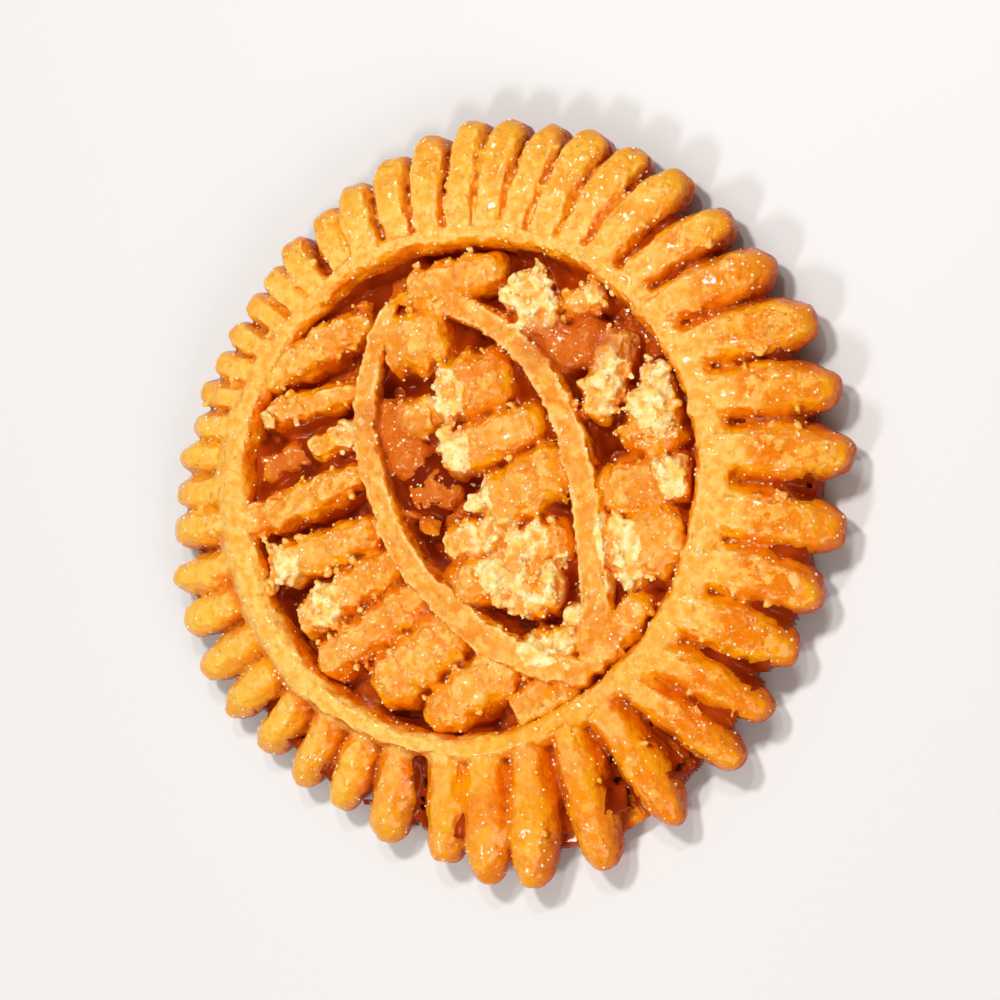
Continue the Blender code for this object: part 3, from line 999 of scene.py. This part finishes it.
    def add_bar(self, dough: Dough, bar: Bar, chance: random.Random) -> None:
        """Adds one bar with its lobes, and the crumbs that stand out of it where it broke.

        Args:
            dough: The dough that takes it.
            bar: The bar.
            chance: The source of its own small differences.
        """
        _, across = self.plan.leaf_frame()
        middle = self.plan.on_leaf(bar.along, bar.across)
        reach = Matrix.Rotation(math.radians(bar.turn), 3, "Z") @ across * (bar.length * MM / 2)
        sideways = Vector((-reach.y, reach.x, 0)).normalized()
        mean_width = bar.width * MM / (1 + bar.taper) * self.bar_swell
        stretch = 0.97 if bar.state is Break.CRUMBLED else 1.02
        lobes, phase = bar.length / self.lobe_length, chance.uniform(0, math.tau)
        bow = sideways * chance.uniform(-0.5, 0.5) * MM

        def path(share: float) -> Vector:
            return middle + reach * (2 * share - 1) * stretch + bow * math.sin(math.pi * share)

        def half_width(share: float) -> float:
            wave = 1 + 0.09 * math.sin(lobes * math.tau * share + phase)
            return mean_width * mix(1, bar.taper, share) * stretch * wave

        def top(share: float) -> float:
            wave = 0.25 * math.sin(lobes * math.tau * share + phase + 1.2)
            return (bar.top + wave) * MM

        Loft(
            path=path,
            half_width=half_width,
            bottom=lambda share: self.bar_bottom,
            top=top,
            end_power=3.2,
            section_power=2.2 if bar.state is Break.SODDEN else 2.4,
            flare=0.2,
            shave=1.0 if bar.state is Break.SODDEN else 0.9,
        ).add_to(dough.body)
        if bar.state is Break.SODDEN:
            for share in (-0.7, 0.0, 0.7):
                spot = middle + reach * share + Vector((0, 0, bar.top * MM / 2))
                dough.sodden.append((spot, bar.width * 0.7 * MM))
            return
        for _ in range(6):
            share = chance.uniform(0.04, 0.96)
            side = chance.choice((-1, 1))
            spot = path(share) + sideways * side * half_width(share) * chance.uniform(0.75, 0.92)
            spot.z = top(share) - chance.uniform(0.3, 1.4) * MM
            dough.add_burr(spot, chance.uniform(0.4, 0.7) * MM, chance)
        if bar.state is Break.WHOLE:
            return
        torn_length = (bar.torn_to - bar.torn_from) * bar.length
        for _ in range(math.ceil(torn_length * 1.1) + 1):
            share = chance.uniform(bar.torn_from, bar.torn_to)
            wide = half_width(share)
            spot = path(share) + sideways * wide * chance.uniform(-0.6, 0.6)
            spot.z = top(share) - chance.uniform(0.2, 1.2) * MM
            dough.broken.append((spot, wide * chance.uniform(0.3, 0.55)))
        for _ in range(math.ceil(torn_length * bar.width * 0.1)):
            share = chance.uniform(bar.torn_from, bar.torn_to)
            side = chance.uniform(-1, 1)
            spot = path(share) + sideways * side * half_width(share) * 0.9
            spot.z = top(share) - chance.uniform(0.1, 0.9) * MM - abs(side) ** 3 * 1.2 * MM
            dough.add_burr(spot, chance.uniform(0.7, 1.3) * MM, chance, chance.uniform(0.6, 1.0))

    def add_bits(self, dough: Dough, chance: random.Random) -> None:
        """Adds the loose ball, the flake and the small lumps that lie between the bars."""
        for across, up, size, flat in self.bits:
            spot = Vector((across * MM, up * MM, self.bits_height))
            dough.add_burr(spot, size * MM, chance, flat)

    def build(self) -> Dough:
        """Builds the field as one skin.

        Returns:
            The dough, as one piece.
        """
        dough = Dough("heart", self.voxel, self.most_faces)
        chance = random.Random(SEED + 1)
        self.add_floor(dough)
        self.add_ridge(dough, self.bulge_right, self.skew_right, 1)
        self.add_ridge(dough, self.bulge_left, self.skew_left, -1)
        for bar in self.bars():
            self.add_bar(dough, bar, chance)
        self.add_bits(dough, chance)
        dough.fuse()
        return dough


@dataclass
class Syrup:
    """Sugar syrup that stayed in the carving's grooves, climbs up their sides and ends in them."""

    relief: Relief
    plan: Layout
    level: float = 4.3 * MM
    inner_level: float = 4.4 * MM
    highest: float = 6.4 * MM
    thinnest: float = 0.12 * MM
    depth: float = 1.0 * MM
    outer_reach: float = 45.5 * MM
    wettest_side: float = math.radians(-25)

    def build(self) -> bpy.types.Object:
        """Lays the syrup over the heights of the dough and keeps it where it stands above them.

        Returns:
            The piece.
        """
        relief = self.relief
        span = (np.arange(relief.cells) + 0.5) * relief.step - relief.half_span
        across, up = np.meshgrid(span, span)
        spots = np.stack([across.ravel(), up.ravel(), np.zeros(across.size)], axis=1)
        uneven = GRAIN.smooth(spots, 9 * MM, 50).reshape(across.shape)
        wet = GRAIN.smooth(spots, 14 * MM, 51).reshape(across.shape)
        side = np.arctan2(up, across)
        ring = self.plan.ring_centre
        inside = np.hypot(across - ring.x, up - ring.y) < self.plan.ring_radius
        level = np.where(inside, self.inner_level, self.level) + uneven * 0.5 * MM
        filled = relief.blur(np.maximum(relief.heights, level), 5)
        wet += np.where(inside, 0.1, 0.35 * np.cos(side - self.wettest_side))
        from_middle = np.hypot(across, up)
        wet *= 1 - smooth_step(self.outer_reach - 1.0 * MM, self.outer_reach + 0.5 * MM, from_middle)
        filled -= (1 - smooth_step(0.0, 0.3, wet)) * 1.6 * MM
        filled -= smooth_step(self.highest, self.highest + 1.6 * MM, filled) * 1.5 * MM
        keep = relief.spread(filled - relief.heights, 3) > self.thinnest
        keep &= (relief.heights > 1.0 * MM) & (from_middle < self.outer_reach)
        body = bmesh.new()
        made = bmesh.ops.create_grid(
            body,
            x_segments=relief.cells - 1,
            y_segments=relief.cells - 1,
            size=relief.half_span - relief.step / 2,
        )
        spare = []
        for vert in made["verts"]:
            column = round((vert.co.x - span[0]) / relief.step)
            row = round((vert.co.y - span[0]) / relief.step)
            if keep[row, column]:
                vert.co.z = filled[row, column]
            else:
                spare.append(vert)
        bmesh.ops.delete(body, geom=spare, context="VERTS")
        lonely = [vert for vert in body.verts if not vert.link_faces]
        bmesh.ops.delete(body, geom=lonely, context="VERTS")
        lower = bmesh.ops.extrude_face_region(body, geom=body.faces[:], use_keep_orig=True)
        sunk = [item for item in lower["geom"] if isinstance(item, bmesh.types.BMVert)]
        bmesh.ops.translate(body, verts=sunk, vec=(0, 0, -self.depth))
        bmesh.ops.recalc_face_normals(body, faces=body.faces)
        return new_piece("syrup", body, smooth=True)


@dataclass
class Crumbs:
    """Loose crumbs lying on the face, most of them beside the broken bars."""

    relief: Relief
    broken: list[tuple[Vector, float]]
    reach: float
    ceiling: float
    near_count: int = 130
    stray_count: int = 60
    near_spread: float = 1.6
    near_sizes: tuple[float, float] = (0.15, 0.42)
    stray_sizes: tuple[float, float] = (0.12, 0.3)
    lowest: float = 3 * MM
    smallest: float = 0.1 * MM

    def build(self) -> bpy.types.Object:
        """Scatters the crumbs.

        Returns:
            The piece.
        """
        chance = random.Random(SEED + 2)
        body = bmesh.new()
        for number in range(self.near_count + self.stray_count):
            if number < self.near_count:
                spot = chance.choice(self.broken)[0].copy()
                aside = (chance.gauss(0, self.near_spread), chance.gauss(0, self.near_spread), 0)
                spot += Vector(aside) * MM
                size = chance.uniform(*self.near_sizes) * MM
            else:
                turn, reach = chance.uniform(0, math.tau), self.reach * math.sqrt(chance.random())
                spot = Vector((math.cos(turn) * reach, math.sin(turn) * reach, 0))
                size = chance.uniform(*self.stray_sizes) * MM
            height = float(self.relief.read(self.relief.heights, np.array([spot[:]]))[0])
            size = min(size, (self.ceiling - height) / 1.3)
            if height < self.lowest or size < self.smallest:
                continue
            spot.z = height + size * 0.2
            made = bmesh.ops.create_icosphere(body, subdivisions=1, radius=size)
            for vert in made["verts"]:
                vert.co *= chance.uniform(0.8, 1.2)
            stretch = Matrix.Diagonal((chance.uniform(0.8, 1.4), chance.uniform(0.7, 1.1), 0.75, 1))
            turn = Matrix.Rotation(chance.uniform(0, math.tau), 4, "Z")
            bmesh.ops.transform(body, matrix=Matrix.Translation(spot) @ turn @ stretch, verts=made["verts"])
        return new_piece("crumbs", body)


@dataclass
class Beads:
    """Tiny beads and bubbles of syrup that stand all over the skin and glint, coloured pale cream as
    painted glints.
    """

    carriers: tuple[bpy.types.Object, ...]
    count: int = 3600
    smallest: float = 0.10 * MM
    largest: float = 0.27 * MM

    def build(self) -> bpy.types.Object:
        """Sets the beads on the skins of the pieces that carry them.

        Returns:
            The piece.
        """
        chance = random.Random(SEED + 3)
        body = bmesh.new()
        places = np.vstack([vertex_rows(carrier.data) for carrier in self.carriers])
        normals = np.vstack([normal_rows(carrier.data) for carrier in self.carriers])
        seen = np.flatnonzero((normals[:, 2] > 0.15) & (places[:, 2] > 3.2 * MM))
        for number in chance.sample(seen.tolist(), self.count):
            size = mix(self.smallest, self.largest, chance.random() ** 2)
            spot = Vector(places[number] - normals[number] * size * 0.1)
            bmesh.ops.create_icosphere(
                body, subdivisions=1, radius=size, matrix=Matrix.Translation(spot)
            )
        return new_piece("beads", body, smooth=True)


class Nodes:
    """A material's or a group's tree, with short ways to add and join its nodes."""

    def __init__(self, tree: bpy.types.NodeTree) -> None:
        """Takes the tree that the nodes go into."""
        self.tree = tree

    def add(self, kind: str, **settings: object) -> bpy.types.Node:
        """Adds a node and sets its properties."""
        node = self.tree.nodes.new(kind)
        for name, value in settings.items():
            setattr(node, name, value)
        return node

    def join(self, source: bpy.types.NodeSocket, target: bpy.types.NodeSocket) -> None:
        """Joins an output to an input."""
        self.tree.links.new(source, target)

    def put(self, source: object, socket: bpy.types.NodeSocket) -> None:
        """Sets an input to a number or colour, or joins an output to it."""
        if isinstance(source, bpy.types.NodeSocket):
            self.join(source, socket)
        else:
            socket.default_value = source

    def mark(self, name: str) -> bpy.types.NodeSocket:
        """The value that a piece keeps for each vertex under this name."""
        return self.add("ShaderNodeAttribute", attribute_name=name).outputs["Fac"]

    def math(self, operation: str, *values: object) -> bpy.types.NodeSocket:
        """The result of a Math node on numbers or outputs."""
        node = self.add("ShaderNodeMath", operation=operation)
        for number, value in enumerate(values):
            self.put(value, node.inputs[number])
        return node.outputs[0]

    def blend(self, share: object, low: object, high: object) -> bpy.types.NodeSocket:
        """A colour between low and high."""
        node = self.add("ShaderNodeMix", data_type="RGBA")
        colours = [socket for socket in node.inputs if socket.type == "RGBA"]
        self.put(share, node.inputs["Factor"])
        self.put(low, colours[0])
        self.put(high, colours[1])
        return next(socket for socket in node.outputs if socket.type == "RGBA")

    def bump(self, height: bpy.types.NodeSocket, distance: float) -> bpy.types.NodeSocket:
        """The normals of a surface that the height raises by this distance."""
        node = self.add("ShaderNodeBump")
        node.inputs["Distance"].default_value = distance
        self.join(height, node.inputs["Height"])
        return node.outputs["Normal"]

    def rise(self, value: object, low: float, high: float, start: float = 0.0, end: float = 1.0) -> object:
        """A smooth rise from start to end as the value goes from low to high."""
        node = self.add("ShaderNodeMapRange", interpolation_type="SMOOTHSTEP")
        self.put(value, node.inputs["Value"])
        for name, number in (("From Min", low), ("From Max", high), ("To Min", start), ("To Max", end)):
            node.inputs[name].default_value = number
        return node.outputs[0]


def colour(red: float, green: float, blue: float) -> tuple[float, float, float, float]:
    """A colour from its display values between 0 and 255, as the shader takes it."""
    linear = []
    for part in (red / 255, green / 255, blue / 255):
        linear.append(part / 12.92 if part <= 0.04045 else ((part + 0.055) / 1.055) ** 2.4)
    return (*linear, 1.0)


def blister_group() -> bpy.types.NodeTree:
    """The crust's fine relief, the pores in it and its mottling, shared by dough and crumbs."""
    group = bpy.data.node_groups.new("blisters", "ShaderNodeTree")
    group.interface.new_socket("Scale", in_out="INPUT", socket_type="NodeSocketFloat")
    for name in ("Height", "Pores", "Mottle", "Flakes", "Blotch"):
        group.interface.new_socket(name, in_out="OUTPUT", socket_type="NodeSocketFloat")
    nodes = Nodes(group)
    inlet = nodes.add("NodeGroupInput")
    outlet = nodes.add("NodeGroupOutput")
    place = nodes.add("ShaderNodeTexCoord").outputs["Object"]

    def textured(kind: str, factor: float, **settings: object) -> bpy.types.Node:
        node = nodes.add(kind, **settings)
        nodes.join(place, node.inputs["Vector"])
        nodes.join(nodes.math("MULTIPLY", inlet.outputs["Scale"], factor), node.inputs["Scale"])
        return node

    bubbles = textured("ShaderNodeTexNoise", 1.0)
    bubbles.inputs["Detail"].default_value = 1.0
    grain = textured("ShaderNodeTexNoise", 2.4)
    pores = textured("ShaderNodeTexVoronoi", 0.62, feature="F1")
    mottle = textured("ShaderNodeTexNoise", 0.8)
    mottle.inputs["Detail"].default_value = 4.0
    flakes = textured("ShaderNodeTexNoise", 0.42)
    flakes.inputs["Detail"].default_value = 5.0
    flakes.inputs["Roughness"].default_value = 0.62
    blotch = textured("ShaderNodeTexNoise", 0.16)
    blotch.inputs["Detail"].default_value = 2.0
    pore_mask = nodes.rise(pores.outputs["Distance"], 0.10, 0.22, 1.0, 0.0)
    relief = nodes.math("MULTIPLY_ADD", grain.outputs["Fac"], 0.3, bubbles.outputs["Fac"])
    relief = nodes.math("MULTIPLY_ADD", pore_mask, -0.25, relief)
    nodes.join(relief, outlet.inputs["Height"])
    nodes.join(pore_mask, outlet.inputs["Pores"])
    nodes.join(mottle.outputs["Fac"], outlet.inputs["Mottle"])
    nodes.join(nodes.rise(flakes.outputs["Fac"], 0.49, 0.57), outlet.inputs["Flakes"])
    nodes.join(blotch.outputs["Fac"], outlet.inputs["Blotch"])
    return group


def start_material(name: str, blisters: bpy.types.NodeTree, per_metre: float) -> tuple:
    """Starts a material with the blister group in it.

    Args:
        name: The material's name.
        blisters: The group with the fine relief, the pores and the mottling.
        per_metre: How many lumps of the fine relief there are to the metre.

    Returns:
        The material, its nodes, its shader and the group's node.
    """
    material = bpy.data.materials.new(name)
    material.use_nodes = True
    nodes = Nodes(material.node_tree)
    skin = nodes.add("ShaderNodeGroup", node_tree=blisters)
    skin.inputs["Scale"].default_value = per_metre
    return material, nodes, material.node_tree.nodes["Principled BSDF"], skin


@dataclass(frozen=True)
class FriedDough:
    """Fried rice dough under a thin coat of syrup: tan on top, orange down its sides, with painted light on
    its crests and painted shade in its hollows and grooves.
    """

    blisters_per_metre: float = 1000.0
    relief: float = 0.34 * MM
    crust: tuple = colour(252, 206, 112)
    crust_dark: tuple = colour(244, 170, 62)
    wet_crust: tuple = colour(232, 120, 2)
    # Pale where a top stands above its surroundings: partly the crust's dry pale rim, partly painted light
    # on crests.
    edge: tuple = colour(255, 220, 146)
    side: tuple = colour(255, 166, 0)
    side_dark: tuple = colour(242, 126, 0)
    # Painted shade: redder and darker on steep sides.
    steep: tuple = colour(236, 102, 0)
    # Painted highlight: yellow on the flanks where they stand above their surroundings.
    ridge_highlight: tuple = colour(255, 182, 34)
    tip: tuple = colour(255, 198, 66)
    broken: tuple = colour(255, 242, 184)
    broken_dark: tuple = colour(255, 208, 104)
    # Painted shade on a torn face: golden orange between its lumps and down its sides.
    torn_shade: tuple = colour(255, 158, 24)
    sodden: tuple = colour(212, 98, 22)
    shade: tuple = colour(228, 108, 4)
    # Darker red the deeper the skin lies below its surroundings: partly syrup, partly painted shade.
    deep: tuple = colour(196, 78, 4)
    # The darkest red, deepest in grooves and hollows: partly syrup, partly painted shade.
    deepest_syrup_and_shade: tuple = colour(150, 44, 4)
    pore: tuple = colour(200, 100, 20)
    gloss: tuple = colour(255, 180, 60)

    def make(self, blisters: bpy.types.NodeTree) -> bpy.types.Material:
        """Builds the material.

        Args:
            blisters: The group with the crust's fine relief.

        Returns:
            The material.
        """
        made = start_material("fried_dough", blisters, self.blisters_per_metre)
        material, nodes, shader, skin = made
        mottle = nodes.rise(skin.outputs["Mottle"], 0.35, 0.65)
        crust, deep = nodes.mark("crust"), nodes.mark("deep")
        is_torn = nodes.rise(nodes.mark("broken"), 0.3, 0.9)
        paint = self.whole_colour(nodes, skin, mottle)
        paint = nodes.blend(is_torn, paint, self.torn_colour(nodes, mottle))
        paint = nodes.blend(nodes.math("MULTIPLY", nodes.mark("sodden"), 0.85), paint, self.sodden)
        # Partly syrup, partly painted shade: darker red the deeper the skin lies below its surroundings.
        paint = nodes.blend(nodes.rise(deep, 0.1, 0.8), paint, self.deep)
        paint = nodes.blend(nodes.rise(deep, 0.7, 1.0), paint, self.deepest_syrup_and_shade)
        nodes.join(paint, shader.inputs["Base Color"])
        rough = nodes.math("MULTIPLY_ADD", crust, 0.12, 0.13)
        rough = nodes.math("MULTIPLY_ADD", mottle, 0.08, rough)
        rough = nodes.math("MULTIPLY_ADD", is_torn, 0.25, rough)
        nodes.join(rough, shader.inputs["Roughness"])
        nodes.join(nodes.bump(skin.outputs["Height"], self.relief), shader.inputs["Normal"])
        coat = nodes.math("MULTIPLY_ADD", crust, -0.4, 0.6)
        level = nodes.math("MULTIPLY_ADD", nodes.mark("steep"), -0.9, 1.0)
        nodes.join(nodes.math("MULTIPLY", coat, level), shader.inputs["Coat Weight"])
        shader.inputs["Coat Roughness"].default_value = 0.07
        shader.inputs["Specular IOR Level"].default_value = 0.34
        shader.inputs["Specular Tint"].default_value = self.gloss
        shader.inputs["Subsurface Weight"].default_value = 0.35
        shader.inputs["Subsurface Radius"].default_value = (1.0, 0.45, 0.1)
        shader.inputs["Subsurface Scale"].default_value = 1.2 * MM
        return material


    def whole_colour(
        self, nodes: Nodes, skin: bpy.types.Node, mottle: bpy.types.NodeSocket
    ) -> bpy.types.NodeSocket:
        """The colour of the whole skin, from its flat tops down its flanks into its grooves, with painted
        light on its crests and ridges and painted shade on its steep sides, in its hollows and in its
        grooves.
        """
        crust, hollow = nodes.mark("crust"), nodes.mark("hollow")
        blotch = nodes.rise(skin.outputs["Blotch"], 0.38, 0.62)
        wet = nodes.rise(nodes.mark("wet"), 0.0, 0.9)
        bare = nodes.math("MULTIPLY_ADD", skin.outputs["Flakes"], -0.75, 1.0)
        top = nodes.blend(mottle, self.crust, self.crust_dark)
        top = nodes.blend(nodes.math("MULTIPLY", wet, bare), top, self.wet_crust)
        # Pale crests where the top stands above its surroundings: partly the dry rim, partly painted light.
        top = nodes.blend(nodes.rise(hollow, 0.5, 0.36, 0.0, 0.7), top, self.edge)
        flank = nodes.blend(blotch, self.side, self.side_dark)
        # Painted shade: the flanks turn redder and darker the steeper they are.
        flank = nodes.blend(nodes.math("MULTIPLY", nodes.mark("steep"), 0.75), flank, self.steep)
        # Painted highlight on the flanks' ridges, where they stand above their surroundings.
        flank = nodes.blend(nodes.rise(hollow, 0.5, 0.2, 0.0, 0.5), flank, self.ridge_highlight)
        flank = nodes.blend(nodes.rise(hollow, 0.5, 0.95, 0.0, 0.85), flank, self.shade)
        paint = nodes.blend(crust, flank, top)
        paint = nodes.blend(nodes.math("MULTIPLY", nodes.mark("tip"), 0.7), paint, self.tip)
        pores = nodes.math("MULTIPLY", nodes.math("MULTIPLY", skin.outputs["Pores"], crust), 0.25)
        paint = nodes.blend(pores, paint, self.pore)
        # Partly syrup, partly painted shade: darkest red deep in the hollows.
        return nodes.blend(nodes.rise(hollow, 0.66, 0.95, 0.0, 0.85), paint, self.deepest_syrup_and_shade)

    def torn_colour(self, nodes: Nodes, mottle: bpy.types.NodeSocket) -> bpy.types.NodeSocket:
        """The colour of a torn face: pale on its lumps, with painted shade in golden orange between them
        and down its sides.
        """
        torn = nodes.blend(mottle, self.broken, self.broken_dark)
        # Painted shade: golden orange between the lumps, and on the sunk and steep parts.
        between = nodes.rise(nodes.mark("hollow"), 0.5, 0.8, 0.0, 0.9)
        torn = nodes.blend(between, torn, self.torn_shade)
        low = nodes.math("MAXIMUM", nodes.mark("sunk"), nodes.mark("steep"))
        return nodes.blend(nodes.math("MULTIPLY", low, 0.8), torn, self.torn_shade)


@dataclass(frozen=True)
class Blotched:
    """A material of two colours in blotches, whose gloss changes with them."""

    name: str
    first: tuple
    second: tuple
    rough_first: float
    rough_second: float
    blisters_per_metre: float
    specular: float = 0.5
    gloss: tuple = colour(255, 255, 255)
    relief_of: str = "Height"
    relief: float = 0.0

    def make(self, blisters: bpy.types.NodeTree) -> bpy.types.Material:
        """Builds the material.

        Args:
            blisters: The group with the fine relief and the mottling.

        Returns:
            The material.
        """
        made = start_material(self.name, blisters, self.blisters_per_metre)
        material, nodes, shader, skin = made
        blotch = nodes.rise(skin.outputs["Blotch"], 0.35, 0.65)
        nodes.join(nodes.blend(blotch, self.first, self.second), shader.inputs["Base Color"])
        change = self.rough_second - self.rough_first
        rough = nodes.math("MULTIPLY_ADD", blotch, change, self.rough_first)
        nodes.join(rough, shader.inputs["Roughness"])
        if self.relief > 0:
            raised = nodes.bump(skin.outputs[self.relief_of], self.relief)
            nodes.join(raised, shader.inputs["Normal"])
        shader.inputs["Specular IOR Level"].default_value = self.specular
        shader.inputs["Specular Tint"].default_value = self.gloss
        return material


# Boiled sugar syrup, red-brown, in blotches of a darker and a lighter shade.
DARK_SYRUP = Blotched(
    name="dark_syrup",
    first=colour(116, 28, 4),
    second=colour(178, 62, 6),
    rough_first=0.06,
    rough_second=0.16,
    blisters_per_metre=700.0,
    specular=0.2,
    gloss=colour(255, 226, 190),
    relief_of="Mottle",
    relief=0.05 * MM,
)
# A drop of syrup, pale cream: its colour is a painted glint, on top of its real gloss.
PALE_GLINT_BEAD = Blotched(
    name="pale_glint_bead",
    first=colour(255, 244, 206),
    second=colour(255, 218, 140),
    rough_first=0.12,
    rough_second=0.22,
    blisters_per_metre=1200.0,
    specular=0.8,
)
# The pale dry inside of the dough, as crumbs.
CRUMB_DOUGH = Blotched(
    name="crumb_dough",
    first=colour(255, 232, 160),
    second=colour(255, 186, 72),
    rough_first=0.5,
    rough_second=0.3,
    blisters_per_metre=1500.0,
    relief=0.3 * MM,
)


@dataclass
class Studio:
    """A pale floor, soft light from the upper left of the view, and the camera."""

    aim: Vector
    azimuth: float = math.radians(78.6)
    elevation: float = math.radians(64)
    lens: float = 135.0
    distance: float = 0.50
    light_distance: float = 0.6
    # Each light's place along the view's right, up and back, its edge in metres and its power in
    # watts: the key light, a small one for glints, and two fills.
    lights = (
        ("key", (-0.75, 0.7, 1.0), 0.08, 1.85),
        ("glint", (-0.22, 0.6, 0.8), 0.05, 0.5),
        ("fill", (0.4, -0.7, 1.0), 0.3, 1.02),
        ("side", (-0.8, -0.7, 0.8), 0.1, 1.1),
    )

    def directions(self) -> tuple[Vector, Vector, Vector]:
        """The view's right and up, and the way back to the camera."""
        level = math.cos(self.elevation)
        back = Vector(
            (
                math.sin(self.azimuth) * level,
                -math.cos(self.azimuth) * level,
                math.sin(self.elevation),
            )
        )
        right = Vector((0, 1, 0)).cross(back).normalized()
        return right, back.cross(right), back

    def place_camera(self) -> None:
        """Looks down on the face, turned so that +Y runs up the picture."""
        right, up, back = self.directions()
        camera = bpy.data.objects.new("camera", bpy.data.cameras.new("camera"))
        camera.data.lens = self.lens
        camera.data.clip_start = 0.01
        matrix = Matrix((right, up, back)).transposed().to_4x4()
        matrix.translation = self.aim + back * self.distance
        camera.matrix_world = matrix
        bpy.context.scene.collection.objects.link(camera)
        bpy.context.scene.camera = camera

    def add_light(self, name: str, side: tuple[float, ...], size: float, power: float) -> None:
        """Adds a square light that shines at the cake.

        Args:
            name: Its name.
            side: Where it stands, along the view's right, up and back.
            size: The length of its edge.
            power: Its power in watts.
        """
        right, up, back = self.directions()
        towards = (right * side[0] + up * side[1] + back * side[2]).normalized()
        light = bpy.data.lights.new(name, "AREA")
        light.size = size
        light.energy = power
        holder = bpy.data.objects.new(name, light)
        holder.matrix_world = towards.to_track_quat("Z", "Y").to_matrix().to_4x4()
        holder.matrix_world.translation = self.aim + towards * self.light_distance
        bpy.context.scene.collection.objects.link(holder)

    def light_the_cake(self) -> None:
        """Adds the lights and the room's pale light."""
        for light in self.lights:
            self.add_light(*light)
        world = bpy.data.worlds.new("room")
        world.use_nodes = True
        backdrop = world.node_tree.nodes["Background"]
        backdrop.inputs["Color"].default_value = (1.0, 0.92, 0.80, 1)
        backdrop.inputs["Strength"].default_value = 0.22
        bpy.context.scene.world = world

    def lay_floor(self) -> None:
        """Lays the pale floor that the cake rests on."""
        body = bmesh.new()
        bmesh.ops.create_grid(body, x_segments=1, y_segments=1, size=1.5)
        floor = new_piece("floor", body)
        material = bpy.data.materials.new("floor")
        material.use_nodes = True
        shader = material.node_tree.nodes["Principled BSDF"]
        shader.inputs["Base Color"].default_value = (0.80, 0.79, 0.78, 1)
        shader.inputs["Roughness"].default_value = 0.5
        floor.data.materials.append(material)
        floor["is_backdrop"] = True


def everything(places: np.ndarray) -> np.ndarray:
    """1 at each place."""
    return np.ones(len(places))


def nothing(places: np.ndarray) -> np.ndarray:
    """0 at each place."""
    return np.zeros(len(places))


def finish_piece(piece: bpy.types.Object, material: bpy.types.Material) -> None:
    """Gives a piece its material, ties it to the frame and reports it."""
    piece.data.materials.clear()
    piece.data.materials.append(material)
    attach(piece, BODY)
    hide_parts(NODE)
    piece.data.calc_loop_triangles()
    LOG.info("%s: %d triangles", piece.name, len(piece.data.loop_triangles))


def main() -> None:
    """Builds the cake round the frame, lights it and reports each piece."""
    logging.basicConfig(level=logging.INFO, format="%(asctime)s %(message)s")
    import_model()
    frame_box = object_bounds()
    plan = Layout.from_box(*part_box(NODE))
    rim_plan = Rim(plan)
    base = Base(rim_plan).build()
    rim = rim_plan.build()
    heart = Heart(plan).build()
    rough_relief = Relief([base.piece, rim.piece, heart.piece])
    rim.roughen(rough_relief, plan.height, rim_plan.ragged)
    heart.roughen(rough_relief, plan.height, everything)
    relief = Relief([base.piece, rim.piece, heart.piece])
    for dough in (base, rim, heart):
        dough.thin_out()
    blisters = blister_group()
    fried = FriedDough().make(blisters)
    base.mark(relief, plan, nothing, nothing)
    rim.mark(relief, plan, rim_plan.dry, rim_plan.rope)
    heart.mark(relief, plan, everything, nothing)
    for dough in (base, rim, heart):
        finish_piece(dough.piece, fried)
    finish_piece(Syrup(relief, plan).build(), DARK_SYRUP.make(blisters))
    crumbs = Crumbs(relief, heart.broken, plan.radius * 0.9, frame_box[1][2] + 0.15 * MM).build()
    finish_piece(crumbs, CRUMB_DOUGH.make(blisters))
    finish_piece(Beads((rim.piece, heart.piece)).build(), PALE_GLINT_BEAD.make(blisters))
    studio = Studio(aim=Vector((0, 0, 4 * MM)))
    studio.lay_floor()
    studio.light_the_cake()
    studio.place_camera()
    bpy.context.scene.view_settings.view_transform = "Standard"


if __name__ == "__main__":
    main()
